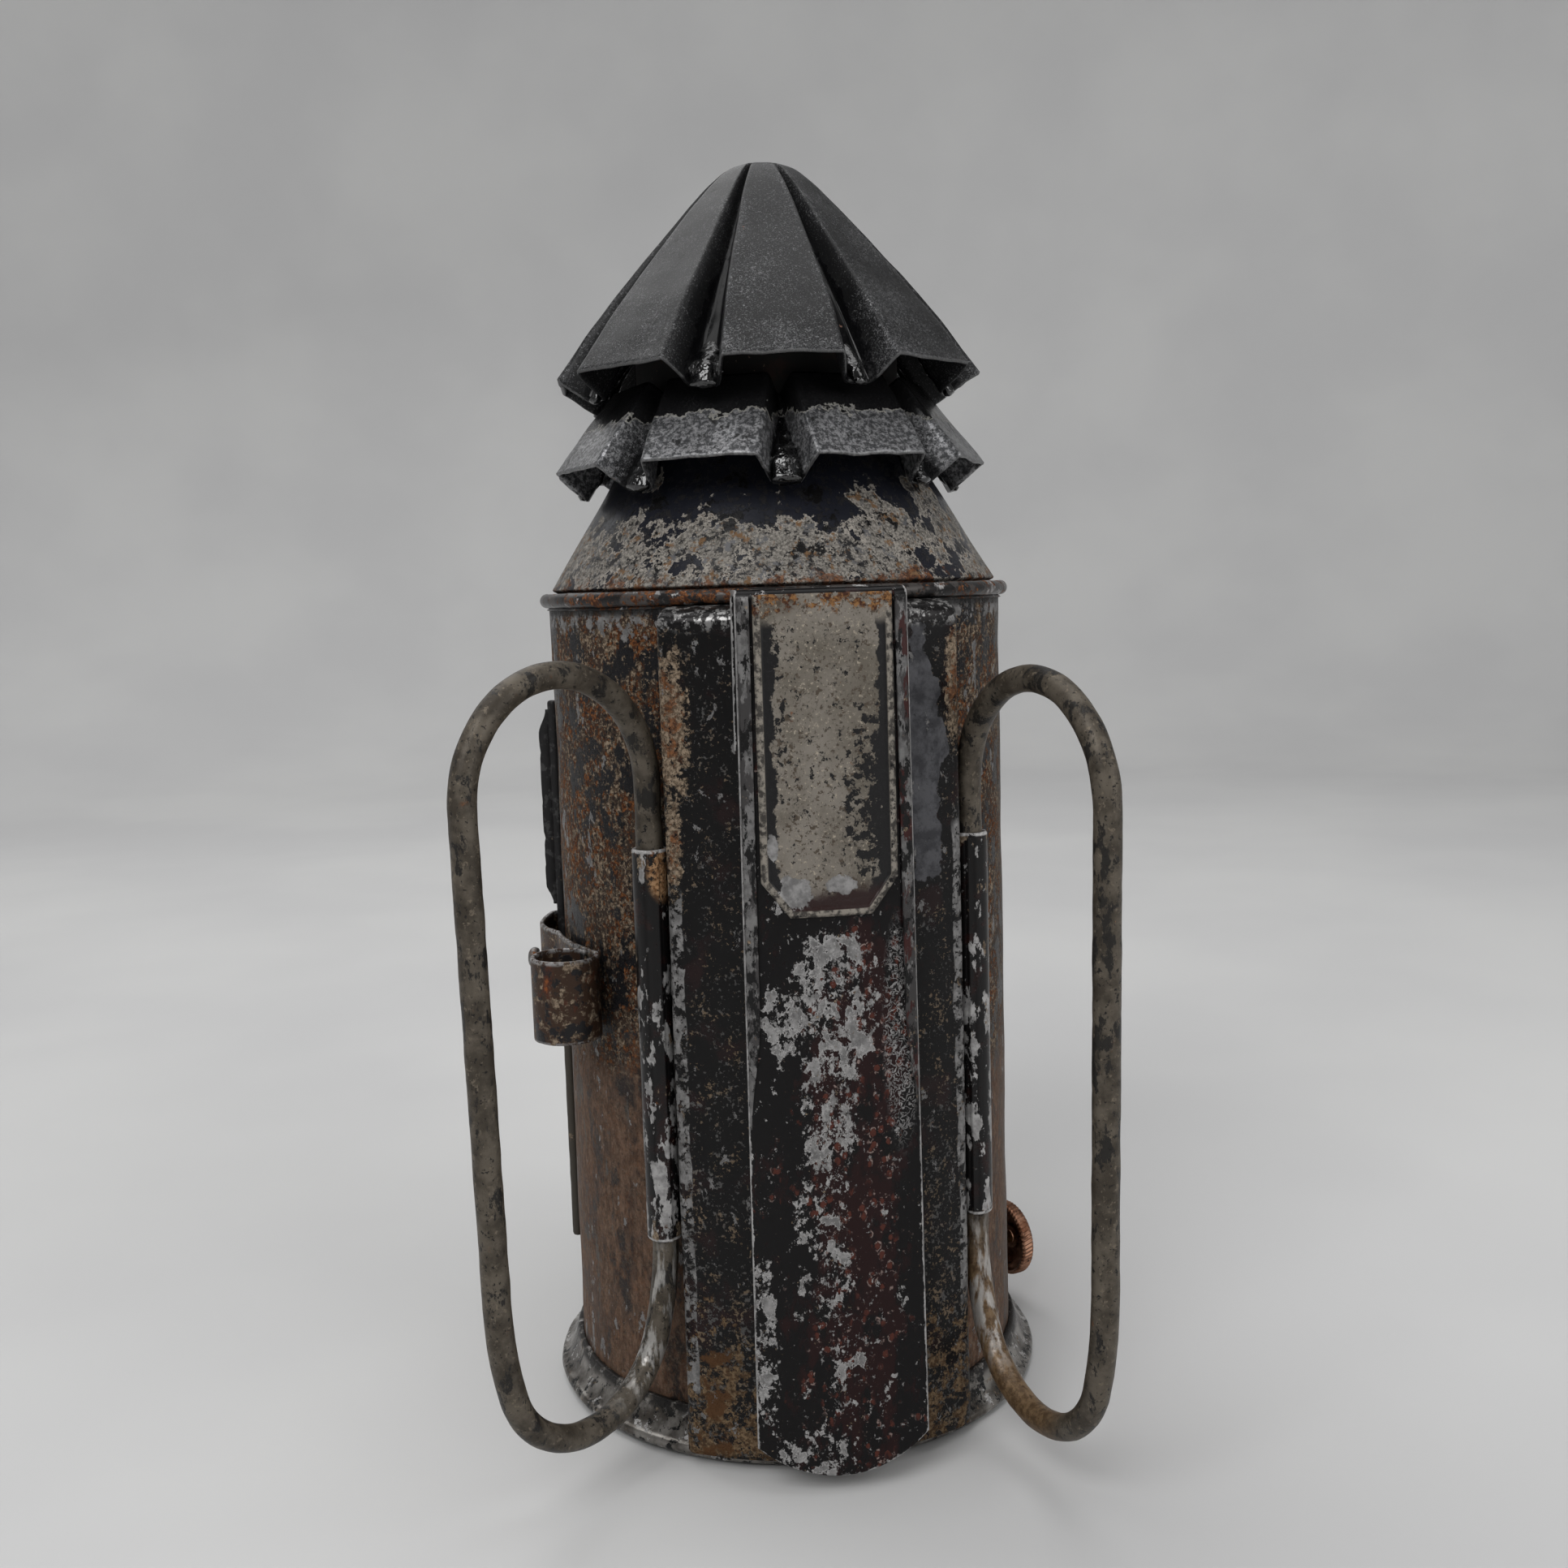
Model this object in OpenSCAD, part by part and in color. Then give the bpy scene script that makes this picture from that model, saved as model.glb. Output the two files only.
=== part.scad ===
// Tinplate bullseye lantern: a round body that stands on a rolled base, a front door that
// carries a thick round lens, a belt hook and two folding wire grips at the back, and a pleated
// chimney that turns an inner shutter to hide the light.
// Millimetres, +Z up. The origin is the centre of the resting face. The lens faces -Y and the
// belt hook faces +Y.

/* [Body] */
// Outer radius of the body
body_r = 38; // [36:0.5:40]
// Height of the wired rim at the top of the body
rim_z = 134.35; // [128:0.5:140]
// Thickness of the tinplate
sheet = 0.8; // [0.6:0.1:0.9]
// Radius of the wired rim
bead_r = 1.25; // [1:0.05:1.3]
// Outer radius of the rolled base flange
flange_r = 42.2; // [41.5:0.1:42.3]

/* [Back] */
// Outer radius of the raised heat shield
shield_r = 43.35; // [43.1:0.05:43.6]
// Half of the angle that the heat shield covers
shield_half_angle = 32.2; // [28:0.2:32.4]
// Inner radius of the belt hook's outer leaf
clip_r = 48.6; // [48.2:0.1:50]
// Width of the belt hook at its top
clip_w = 24.6; // [20:0.2:26]
// Height of the lower edge of the doubling plate on the belt hook
plate_bottom_z = 88.3; // [80:0.5:100]

/* [Handles] */
// Radius of the handle wire
wire_r = 2.1; // [1.8:0.05:2.2]
// Distance from the lantern's axis to a handle's hinge axis
sleeve_axis_r = 41.4; // [41.3:0.05:42]
// Angle of each handle's hinge axis from the back of the lantern
sleeve_angle = 36.7; // [36.6:0.1:40]
// Width of a handle from its hinge axis to its outer bar
loop_w = 34.5; // [30:0.5:36]
// Swing of the left handle at rest, outward from the radial direction
left_swing = 12.3; // [-20:0.5:90]
// Swing of the right handle at rest, outward from the radial direction
right_swing = -18.7; // [-20:0.5:90]

/* [Chimney] */
// Outer radius of the upper pleated cap
cap_r = 35.8; // [34:0.1:37]
// Height of the tip of the cap
cap_top_z = 205; // [200:0.5:210]
// Number of pleats in the cap and in the ring
pleats = 8; // [6:1:10]
// Depth of a pleat at the rim
pleat_depth = 6.3; // [4:0.1:6.5]

/* [Door and lens] */
// Height of the door's lower edge
door_bottom_z = 18.8; // [18.8:0.1:22]
// Height of the door's upper edge
door_top_z = 117; // [112:0.5:120]
// Height of the lens's centre
lens_z = 68; // [60:0.5:72]
// Radius of the lens
lens_r = 25.4; // [22:0.2:26]

/* [Burner] */
// Height of the wick winder's spindle
winder_z = 11.4; // [11:0.1:11.6]
// Radius of the winder's thumbwheel
knob_r = 6.9; // [6:0.1:6.9]
// Direction of the winder's spindle, from the back towards -X
winder_angle = 110; // [108:1:112]

/* [Hidden] */
$fn = 64;

// Small gap between parts that only rest on each other
seat_gap = 0.05;
// Length that a cutting shape runs past what it cuts
over = 1;

inner_r = body_r - sheet;
floor_t = 1;
window_half_angle = 62;
window_bottom_z = 25;
window_top_z = 110;

skirt_r = inner_r - 0.75;
skirt_bottom_z = 128;
shutter_bottom_z = 22;
shutter_window_half_angle = 43;
shutter_window_bottom_z = 40;
shutter_window_top_z = 96;

cone_foot = [body_r - 0.6, rim_z + 1.65];
cone_head = [24.6, 156.7];
neck_r = 21.85;
neck_top_z = 176;

// Angle between two sections of a bend, and the sides of a bent wire's section
bend_step = 9;
wire_sides = 16;

pleat_pitch = 360 / pleats;
// First pleat of the cap, seen from above, counted from the +X axis
cap_phase = 86.5;
ring_phase = cap_phase + pleat_pitch / 2;

shield_sheet = 0.7;
shield_bottom_z = 2;
shield_top_z = 133.1;
clip_sheet = 0.9;
clip_top_z = 135.2;
clip_tip_z = 2.8;
clip_foot_w = 26;
clip_tip_h = 4.8;
clip_leaf_bottom_z = 112;
hem_w = 1.2;
hem_h = 0.6;
plate_top_z = 134.4;
plate_w = 20;
plate_foot_w = 12;
plate_shoulder_h = 5.2;

sleeve_bottom_z = 36;
sleeve_top_z = 97;
sleeve_r = 2.9;
sleeve_bore_r = wire_r + 0.07;
left_lift = 1.3;
right_lift = -1.5;

// The turns of a handle, from its hinge leg to its outer bar: [radius or length, angle]
leg_top_z = 105.3;
leg_bottom_z = 35.4;
lower_bend = [45, 20];
foot_turn = 145;
outer_bend = [60, 14];
bar_length = 69.5;

hinge_r = 40.3;
hinge_angle = 106;
hinge_pin_r = 1;
knuckle_r = 1.7;
knuckle_bore_r = hinge_pin_r + 0.05;
body_knuckle_spans = [[22, 34], [62, 74], [102, 112]];
door_knuckle_spans = [[34.4, 61.6], [74.4, 101.6]];
door_r = body_r + 0.7;
door_half_angle = 71;
door_edge_r = 1;

barrel_r = lens_r + 1.6;
barrel_front_y = 57;
lens_back_y = 50.5;
lens_rim_t = 5;
lens_dome = 9;

catch_bottom_z = 65.7;
catch_top_z = 79;
catch_sheet = 0.7;
catch_z = (catch_bottom_z + catch_top_z) / 2;
catch_pivot_angle = 121;
catch_roll_r = 5.05;

font_r = 33;
font_top_z = 19.5;
font_wall = 0.7;
well_r = 10.5;
channel_w = 6.4;
filler_pos = [0, -22];
filler_r = 4;
spindle_r = 1.2;
spindle_offset = 4.6;
knob_inner_t = 42.4;
knob_depth = 3.6;
wick_w = 12;
wick_t = 1.8;
tube_gap = 0.3;
tube_wall = 0.6;
tube_top_z = 44;
star_r = 3.6;
star_spacing = 3.5;

reflector_curve_r = 30;
reflector_r = 21;
reflector_apex_y = 26;

// Places a child with +X pointing away from the axis, at an angle from the back towards +X
module at_back_angle(angle) rotate([0, 0, 90 - angle]) children();

// Ring of the given outer radius and thickness between two heights
module tube(r, t, z0, z1) {
    translate([0, 0, z0])
    difference() {
        cylinder(r = r, h = z1 - z0, $fn = 128);
        translate([0, 0, -over]) cylinder(r = r - t, h = z1 - z0 + 2 * over, $fn = 128);
    }
}

// Part of a ring, between two angles from the back towards +X
module arc_wall(r, t, z0, z1, from, to) {
    rotate([0, 0, 90 - to])
    rotate_extrude(angle = to - from, $fn = 128)
    translate([r - t, z0])
    square([t, z1 - z0]);
}

// Points and headings along a bent path in the XY plane that starts at the origin along +X.
// Each move is [length, 0] or [radius, angle], and a negative angle turns to the right.
function trace(moves, i = 0, at = [0, 0], heading = 0) =
    i == len(moves) ? [[at.x, at.y, heading]]
    : let(m = moves[i], n = m[1] == 0 ? 1 : ceil(abs(m[1]) / bend_step), last = along(m, at, heading, 1))
        concat([for (k = [0 : n - 1]) along(m, at, heading, k / n)],
               trace(moves, i + 1, [last.x, last.y], last.z));

// Point and heading after a fraction f of one move
function along(m, at, heading, f) =
    m[1] == 0 ? concat(at + m[0] * f * [cos(heading), sin(heading)], heading)
    : let(side = sign(m[1]), turned = heading + m[1] * f,
        centre = at + side * m[0] * [-sin(heading), cos(heading)])
        concat(centre + side * m[0] * [sin(turned), -cos(turned)], turned);

// A strip of sheet that stands on the XY plane and follows a path
module bent_strip(moves, t, h) {
    path = trace(moves);
    last = len(path) - 1;
    linear_extrude(h)
    polygon(concat(
        [for (p = path) [p.x, p.y] + t / 2 * [-sin(p.z), cos(p.z)]],
        [for (i = [last : -1 : 0]) [path[i].x, path[i].y] - t / 2 * [-sin(path[i].z), cos(path[i].z)]]
    ));
}

// A round wire that follows a path in the XY plane
module bent_wire(moves, r) {
    path = trace(moves);
    rings = len(path);
    points = [for (p = path, k = [0 : wire_sides - 1])
        let(a = k * 360 / wire_sides, side = r * cos(a))
        [p.x - side * sin(p.z), p.y + side * cos(p.z), r * sin(a)]];
    polyhedron(points = points, faces = concat(
        [[for (k = [0 : wire_sides - 1]) k]],
        [[for (k = [wire_sides - 1 : -1 : 0]) (rings - 1) * wire_sides + k]],
        [for (i = [0 : rings - 2], k = [0 : wire_sides - 1])
            let(a = i * wire_sides, n = (k + 1) % wire_sides)
            [a + k, a + wire_sides + k, a + wire_sides + n]],
        [for (i = [0 : rings - 2], k = [0 : wire_sides - 1])
            let(a = i * wire_sides, n = (k + 1) % wire_sides)
            [a + k, a + wire_sides + n, a + n]]
    ));
}

// A thin solid that follows a ring of radius r and has the outline of its child, drawn with
// X across and Y up, on the +Y side
module wrapped_plate(r, t) {
    intersection() {
        tube(r + t, t, -over, cap_top_z);
        rotate([90, 0, 0]) translate([0, 0, -r - t - over]) linear_extrude(r + t) children();
    }
}

// Body -------------------------------------------------------------------------------------

module body_shell() {
    color("#5a4334")
    difference() {
        tube(body_r, sheet, floor_t, rim_z);
        arc_wall(body_r + over, sheet + 2 * over, window_bottom_z, window_top_z,
                 180 - window_half_angle, 180 + window_half_angle);
        winder_frame() cylinder(r = 3, h = 60);
    }
}

module top_bead() {
    color("#6e5f54")
    difference() {
        translate([0, 0, rim_z])
        rotate_extrude($fn = 128)
        translate([body_r + 0.3, 0])
        circle(r = bead_r, $fn = 32);
        tube(body_r, sheet, rim_z - 2 * bead_r, rim_z);
    }
}

module base_pan() {
    color("#3a3632") {
        cylinder(r = body_r, h = floor_t, $fn = 128);
        tube(inner_r - 0.1, sheet, floor_t, 6);
    }
}

module base_flange() {
    rim_centre = [flange_r - 1, 1.35];
    color("#4b4640")
    rotate_extrude($fn = 128)
    polygon(concat(
        [[body_r + 0.6, 4.4], [body_r + seat_gap, 5.2], [body_r + seat_gap, 7], [body_r + 0.9, 7],
         [body_r + 1.3, 5.2]],
        [for (a = [110 : -20 : -190]) rim_centre + [cos(a), sin(a)]]
    ));
}

// Back -------------------------------------------------------------------------------------

module heat_shield() {
    return_angle = 1;
    color("#1d1a19") {
        arc_wall(shield_r, shield_sheet, shield_bottom_z, shield_top_z,
                 -shield_half_angle, shield_half_angle);
        for (edge = [-shield_half_angle, shield_half_angle - return_angle])
            arc_wall(shield_r - shield_sheet / 2, shield_r - shield_sheet / 2 - body_r - seat_gap,
                     7.6, shield_top_z - 2, edge, edge + return_angle);
    }
}

// Outline of the belt hook's outer leaf, whose foot is a shallow arc
module clip_outline() {
    half_top = clip_w / 2;
    half_foot = clip_foot_w / 2;
    foot_arc_r = (half_foot * half_foot + clip_tip_h * clip_tip_h) / (2 * clip_tip_h);
    foot_arc_a = asin(half_foot / foot_arc_r);
    polygon(concat(
        [[half_top, clip_top_z], [-half_top, clip_top_z]],
        [for (k = [-8 : 8])
            let(a = foot_arc_a * k / 8)
            [foot_arc_r * sin(a), clip_tip_z + foot_arc_r * (1 - cos(a))]]
    ));
}

module belt_clip() {
    half_top = clip_w / 2;
    hem_bottom_z = 62;
    leaf_r = shield_r + seat_gap + clip_sheet;
    color("#191716") {
        wrapped_plate(clip_r, clip_sheet) clip_outline();
        wrapped_plate(leaf_r - clip_sheet, clip_r + clip_sheet - leaf_r + clip_sheet)
            translate([-half_top, clip_top_z - clip_sheet]) square([clip_w, clip_sheet]);
        wrapped_plate(leaf_r - clip_sheet, clip_sheet)
            translate([-half_top, clip_leaf_bottom_z])
            square([clip_w, clip_top_z - clip_leaf_bottom_z]);
        wrapped_plate(clip_r + clip_sheet / 2, clip_sheet / 2 + hem_h)
            for (x = [-half_top + 0.1, half_top - hem_w - 0.1])
                translate([x, hem_bottom_z]) square([hem_w, plate_top_z - hem_bottom_z]);
    }
}

module clip_plate() {
    half = plate_w / 2;
    foot = plate_foot_w / 2;
    shoulder_z = plate_bottom_z + plate_shoulder_h;
    color("#8b8276")
    wrapped_plate(clip_r + clip_sheet + seat_gap, 0.7)
    polygon([
        [half, plate_top_z], [-half, plate_top_z], [-half, shoulder_z], [-foot, plate_bottom_z],
        [foot, plate_bottom_z], [half, shoulder_z]
    ]);
}

// Two flat rivets whose heads hold the hook's inner leaf, in front of the shield
module clip_rivets() {
    leaf_face_r = shield_r + seat_gap + clip_sheet;
    head_r = 2;
    rivet_x = 6;
    seat_y = sqrt(pow(leaf_face_r, 2) - pow(rivet_x - head_r, 2)) + seat_gap;
    color("#555555")
    for (x = [-rivet_x, rivet_x])
        translate([x, seat_y, 120])
        rotate([-90, 0, 0])
        cylinder(r1 = head_r, r2 = 1.4, h = 0.9, $fn = 32);
}

// Handles ----------------------------------------------------------------------------------

// A rolled tube that holds one leg of a handle, with its web on the body
module handle_sleeve(side) {
    color("#2a2522")
    difference() {
        at_back_angle(side * sleeve_angle) {
            translate([sleeve_axis_r, 0, sleeve_bottom_z])
                cylinder(r = sleeve_r, h = sleeve_top_z - sleeve_bottom_z);
            translate([body_r - 0.5, -1, sleeve_bottom_z + 4])
                cube([2, 2, sleeve_top_z - sleeve_bottom_z - 8]);
        }
        cylinder(r = body_r + seat_gap, h = cap_top_z, $fn = 128);
        at_back_angle(side * sleeve_angle)
            translate([sleeve_axis_r, 0, 0]) cylinder(r = sleeve_bore_r, h = cap_top_z);
    }
}

module handle_sleeve_left() handle_sleeve(1);
module handle_sleeve_right() handle_sleeve(-1);

// Radius of the bend at the foot, which gives the loop its width
function foot_r() = let(headings = [lower_bend[1], lower_bend[1] + foot_turn, 179])
    (loop_w - lower_bend[0] * (1 - cos(headings[0])) - bar_length * sin(1)
        - outer_bend[0] * (cos(headings[1]) - cos(headings[2])))
    / (cos(headings[0]) - cos(headings[1]));

// Radius of the top bend, which closes the loop onto the hinge leg
function closing_r() = loop_w / (1 - cos(181));

// A closed loop of wire in the XZ plane, with its hinge leg on the Z axis and its outer bar
// towards +X
module handle_loop() {
    bends = [lower_bend, [foot_r(), foot_turn], outer_bend, [bar_length, 0], [closing_r(), 181]];
    joint_overlap = 0.5;
    translate([0, 0, leg_bottom_z])
        cylinder(r = wire_r, h = leg_top_z - leg_bottom_z, $fn = 48);
    translate([0, 0, leg_bottom_z + joint_overlap])
    rotate([90, 0, 0])
    rotate([0, 0, -90])
    bent_wire(concat([[joint_overlap, 0]], bends, [[joint_overlap, 0]]), wire_r - 0.02);
}

module handle(side, swing, lift) {
    color("#5c564b")
    at_back_angle(side * sleeve_angle)
    translate([sleeve_axis_r, 0, lift])
    rotate([0, 0, -side * swing])
    handle_loop();
}

module handle_left() handle(1, left_swing, left_lift);
module handle_right() handle(-1, right_swing, right_lift);

// Door and its hinge -------------------------------------------------------------------------

module at_hinge() rotate([0, 0, 90 + hinge_angle]) translate([hinge_r, 0, 0]) children();

module body_knuckles() {
    color("#33302d")
    difference() {
        for (span = body_knuckle_spans) {
            at_hinge() translate([0, 0, span[0]]) cylinder(r = knuckle_r, h = span[1] - span[0]);
            arc_wall(body_r + 1.05, 1.05 - seat_gap, span[0], span[1], 1 - hinge_angle, -98);
        }
        at_hinge() cylinder(r = knuckle_bore_r, h = cap_top_z);
    }
}

module door_knuckles() {
    leaf_r = door_r + sheet + seat_gap;
    color("#33302d")
    difference() {
        for (span = door_knuckle_spans) {
            at_hinge() translate([0, 0, span[0]]) cylinder(r = knuckle_r, h = span[1] - span[0]);
            arc_wall(leaf_r + 0.7, 0.7, span[0], span[1], -hinge_angle - 9, -hinge_angle);
        }
        at_hinge() cylinder(r = knuckle_bore_r, h = cap_top_z);
    }
}

module hinge_pin() {
    color("#8a8680")
    at_hinge()
    translate([0, 0, 20.5]) {
        cylinder(r = hinge_pin_r, h = 92.3, $fn = 32);
        translate([0, 0, 92.3]) cylinder(r = 1.5, h = 0.8, $fn = 32);
    }
}

module door_panel() {
    color("#231f1d")
    difference() {
        arc_wall(door_r + sheet, sheet, door_bottom_z, door_top_z,
                 180 - door_half_angle, 180 + door_half_angle);
        translate([0, 0, lens_z]) rotate([90, 0, 0]) cylinder(r = lens_r + 0.4, h = 60, $fn = 96);
    }
}

// The door's free edge: a rolled bead, and above the catch a narrow flange that is bent out
module door_edge() {
    edge_angle = 180 - door_half_angle - 1.5;
    bead_centre_r = door_r + sheet + 0.6;
    color("#4a4743")
    at_back_angle(edge_angle) {
        translate([bead_centre_r, 0, door_bottom_z])
            cylinder(r = door_edge_r, h = door_top_z - door_bottom_z, $fn = 32);
        translate([bead_centre_r, -0.4, catch_top_z + 1.5])
            cube([2.8, 0.8, door_top_z - catch_top_z - 3]);
    }
}

// Lens ---------------------------------------------------------------------------------------

// Turns a shape made along +Z so that it points to the front at the height of the lens
module at_lens() translate([0, 0, lens_z]) rotate([90, 0, 0]) children();

module lens_barrel() {
    color("#26221f")
    difference() {
        at_lens() cylinder(r = barrel_r, h = barrel_front_y, $fn = 128);
        at_lens() cylinder(r = barrel_r - sheet, h = barrel_front_y + over, $fn = 128);
        cylinder(r = door_r + sheet + seat_gap, h = cap_top_z, $fn = 128);
    }
}

module lens_bezel() {
    color("#a37b3c")
    at_lens()
    rotate_extrude($fn = 128)
    polygon([
        [barrel_r + 0.1, barrel_front_y - 5], [barrel_r + 1.1, barrel_front_y - 5],
        [barrel_r + 1.6, barrel_front_y - 1], [barrel_r + 0.6, barrel_front_y + 1.4],
        [lens_r - 2.2, barrel_front_y + 1.4], [lens_r - 1.6, barrel_front_y + 0.4],
        [barrel_r + 0.1, barrel_front_y + 0.4]
    ]);
}

module lens() {
    dome_base_y = lens_back_y + lens_rim_t;
    dome_curve_r = (lens_r * lens_r + lens_dome * lens_dome) / (2 * lens_dome);
    color([0.75, 0.85, 0.82, 0.5])
    at_lens() {
        translate([0, 0, lens_back_y]) cylinder(r = lens_r, h = lens_rim_t, $fn = 128);
        intersection() {
            translate([0, 0, dome_base_y]) cylinder(r = lens_r, h = lens_dome + over, $fn = 128);
            translate([0, 0, dome_base_y + lens_dome - dome_curve_r])
                sphere(r = dome_curve_r, $fn = 128);
        }
    }
}

module lens_retainer() {
    color("#8a6a35")
    at_lens() tube(barrel_r - sheet - seat_gap, 1.2, lens_back_y - 1.3, lens_back_y - seat_gap);
}

// Door catch ---------------------------------------------------------------------------------

// A springy strip: a leaf on the door, a bow over the door's edge and a rolled finger loop
module catch_strap() {
    leaf_gap = 0.15;
    leaf_r = door_r + sheet + leaf_gap + catch_sheet / 2;
    hug_r = body_r + 1.15;
    moves = [
        [leaf_r, 7],
        [2.5, -38], [1.6, 0], [2.5, 44],
        [leaf_r + 2.3, 8],
        [14, 44], [3, -27.5],
        [hug_r, 24],
        [catch_roll_r, -270], [catch_roll_r - 0.95, -95]
    ];
    color("#5b3020")
    translate([0, 0, catch_bottom_z])
    at_back_angle(catch_pivot_angle)
    translate([leaf_r, 0, 0])
    rotate([0, 0, 90])
    bent_strip(moves, catch_sheet, catch_top_z - catch_bottom_z);
}

module catch_stud() {
    strap_face_r = door_r + sheet + 2.3 + catch_sheet + 0.6;
    color("#55585a")
    at_back_angle(98)
    translate([strap_face_r, 0, catch_z])
    rotate([0, 90, 0]) {
        cylinder(r = 1.9, h = 0.7, $fn = 32);
        translate([0, 0, 0.7]) cylinder(r1 = 1.9, r2 = 1.1, h = 1.3, $fn = 32);
    }
}

// Chimney ------------------------------------------------------------------------------------

module shoulder_cone() {
    color("#2b2b30")
    rotate_extrude($fn = 128)
    polygon([
        [skirt_r, skirt_bottom_z], [skirt_r, cone_foot.y - 0.4], [cone_foot.x, cone_foot.y],
        cone_head, [neck_r + 0.1, cone_head.y + 3.4], [neck_r + 0.1, cone_head.y + 2.4],
        [cone_head.x - 0.8, cone_head.y - 0.4], [skirt_r - sheet, cone_foot.y - 0.2],
        [skirt_r - sheet, skirt_bottom_z]
    ]);
}

module neck_tube() {
    color("#1f1f22") tube(neck_r, sheet, cone_head.y, neck_top_z);
}

// Angles across one pleat, from its middle, and how far the sheet lies below its ridge there
pleat_angles = [-20.3, -18.8, -17, -15.6, 15.6, 17, 18.8, 20.3];
pleat_drops = [1, 0.86, 0.14, 0, 0, 0.14, 0.86, 1];

// Outward direction of the profile's surface at point k
function slope_normal(profile, k) =
    let(a = profile[max(k - 1, 0)], b = profile[min(k + 1, len(profile) - 1)], d = b - a)
    [d.y, -d.x] / norm(d);

// Radius and height of the sheet at profile point k and pleat point j, for a given inset
function pleat_rz(profile, k, j, inset) =
    let(depth = pleat_depth * profile[k].x / profile[0].x)
    profile[k] - slope_normal(profile, k) * (depth * pleat_drops[j] + inset);

function pleat_points(profile, phase, inset) =
    [for (k = [0 : len(profile) - 1], p = [0 : pleats - 1], j = [0 : len(pleat_angles) - 1])
        let(rz = pleat_rz(profile, k, j, inset),
            shift = inset > 0 ? -0.9 * sign(pleat_angles[j]) : 0,
            a = phase + p * pleat_pitch + pleat_angles[j] * pleat_pitch / 45 + shift)
        [rz.x * cos(a), rz.x * sin(a), rz.y]];

// A pleated cone of thin sheet that follows a profile of ridge points, from rim to top. A
// closed one ends in a tip, and an open one in an edge.
module pleated_cone(profile, phase, t, closed) {
    n = pleats * len(pleat_angles);
    rings = len(profile);
    outer = pleat_points(profile, phase, 0);
    inner = pleat_points(profile, phase, t);
    base = rings * n;
    top = (rings - 1) * n;
    polyhedron(
        points = concat(outer, inner),
        faces = concat(
            [for (k = [0 : rings - 2], i = [0 : n - 1])
                let(j = (i + 1) % n) [k * n + i, (k + 1) * n + i, (k + 1) * n + j]],
            [for (k = [0 : rings - 2], i = [0 : n - 1])
                let(j = (i + 1) % n) [k * n + i, (k + 1) * n + j, k * n + j]],
            [for (k = [0 : rings - 2], i = [0 : n - 1])
                let(j = (i + 1) % n)
                [base + k * n + i, base + (k + 1) * n + j, base + (k + 1) * n + i]],
            [for (k = [0 : rings - 2], i = [0 : n - 1])
                let(j = (i + 1) % n) [base + k * n + i, base + k * n + j, base + (k + 1) * n + j]],
            [for (i = [0 : n - 1]) let(j = (i + 1) % n) [i, j, base + j]],
            [for (i = [0 : n - 1]) let(j = (i + 1) % n) [i, base + j, base + i]],
            closed ? [[for (i = [n - 1 : -1 : 0]) top + i], [for (i = [0 : n - 1]) base + top + i]]
                : concat(
                    [for (i = [0 : n - 1])
                        let(j = (i + 1) % n) [top + i, base + top + i, base + top + j]],
                    [for (i = [0 : n - 1]) let(j = (i + 1) % n) [top + i, base + top + j, top + j]])
        )
    );
}

module lower_pleat_ring() {
    ring_foot = [cap_r + 0.4, 155.2];
    ring_head = [26, 168];
    color("#262628")
    pleated_cone([ring_foot, (ring_foot + ring_head) / 2, ring_head], ring_phase, 0.7, false);
}

module upper_pleat_cap() {
    rim_height = cap_top_z - 35.2;
    run = cap_r - 12;
    color("#222224")
    pleated_cone(
        [[cap_r, rim_height], [cap_r - run * 0.26, rim_height + 8.3],
         [cap_r - run * 0.5, rim_height + 15], [cap_r - run * 0.75, rim_height + 21.7],
         [12, rim_height + 28.3], [8.7, rim_height + 31.6], [5.5, rim_height + 34.2],
         [2.4, rim_height + 35.2]],
        cap_phase, 0.7, true);
}

// Four strips inside the neck that carry the cap
module cap_legs() {
    leg_top_z = 180.4;
    color("#303032")
    for (k = [0 : 3])
        rotate([0, 0, cap_phase + pleat_pitch / 2 + 90 * k])
        translate([neck_r - sheet - 0.95, -2.5, 164])
        cube([0.7, 5, leg_top_z - 164]);
}

module dark_shutter() {
    color("#1b1a19")
    difference() {
        tube(skirt_r, 0.7, shutter_bottom_z, skirt_bottom_z - seat_gap);
        arc_wall(skirt_r + over, 1 + 2 * over, shutter_window_bottom_z, shutter_window_top_z,
                 180 - shutter_window_half_angle, 180 + shutter_window_half_angle);
    }
}

// Burner -------------------------------------------------------------------------------------

// Frame of the winder: +Z runs along the spindle and outward, and the origin is beside the wick
module winder_frame() {
    translate([0, 0, winder_z])
    rotate([0, 0, 90 + winder_angle])
    translate([0, -spindle_offset, 0])
    rotate([0, 90, 0])
    children();
}

// Frame of the wick: +X runs along its width, parallel to the spindle
module wick_frame() rotate([0, 0, 90 + winder_angle]) children();

// Room in the font for the spindle, open at the top
module spindle_channel(grow) {
    wick_frame()
    translate([0, -spindle_offset - channel_w / 2 - grow, winder_z - 3.5 - grow])
    cube([font_r + 2, channel_w + 2 * grow, 20]);
}

module oil_font() {
    bottom_z = floor_t + seat_gap;
    color("#8a6f3f")
    difference() {
        translate([0, 0, bottom_z]) cylinder(r = font_r, h = font_top_z - bottom_z, $fn = 96);
        difference() {
            translate([0, 0, bottom_z + font_wall])
                cylinder(r = font_r - font_wall, h = font_top_z - bottom_z - 2 * font_wall, $fn = 96);
            cylinder(r = well_r + font_wall, h = font_top_z);
            spindle_channel(font_wall);
        }
        translate([0, 0, bottom_z + font_wall]) cylinder(r = well_r, h = font_top_z);
        spindle_channel(0);
        translate([filler_pos.x, filler_pos.y, 10]) cylinder(r = filler_r, h = 20);
    }
}

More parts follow.
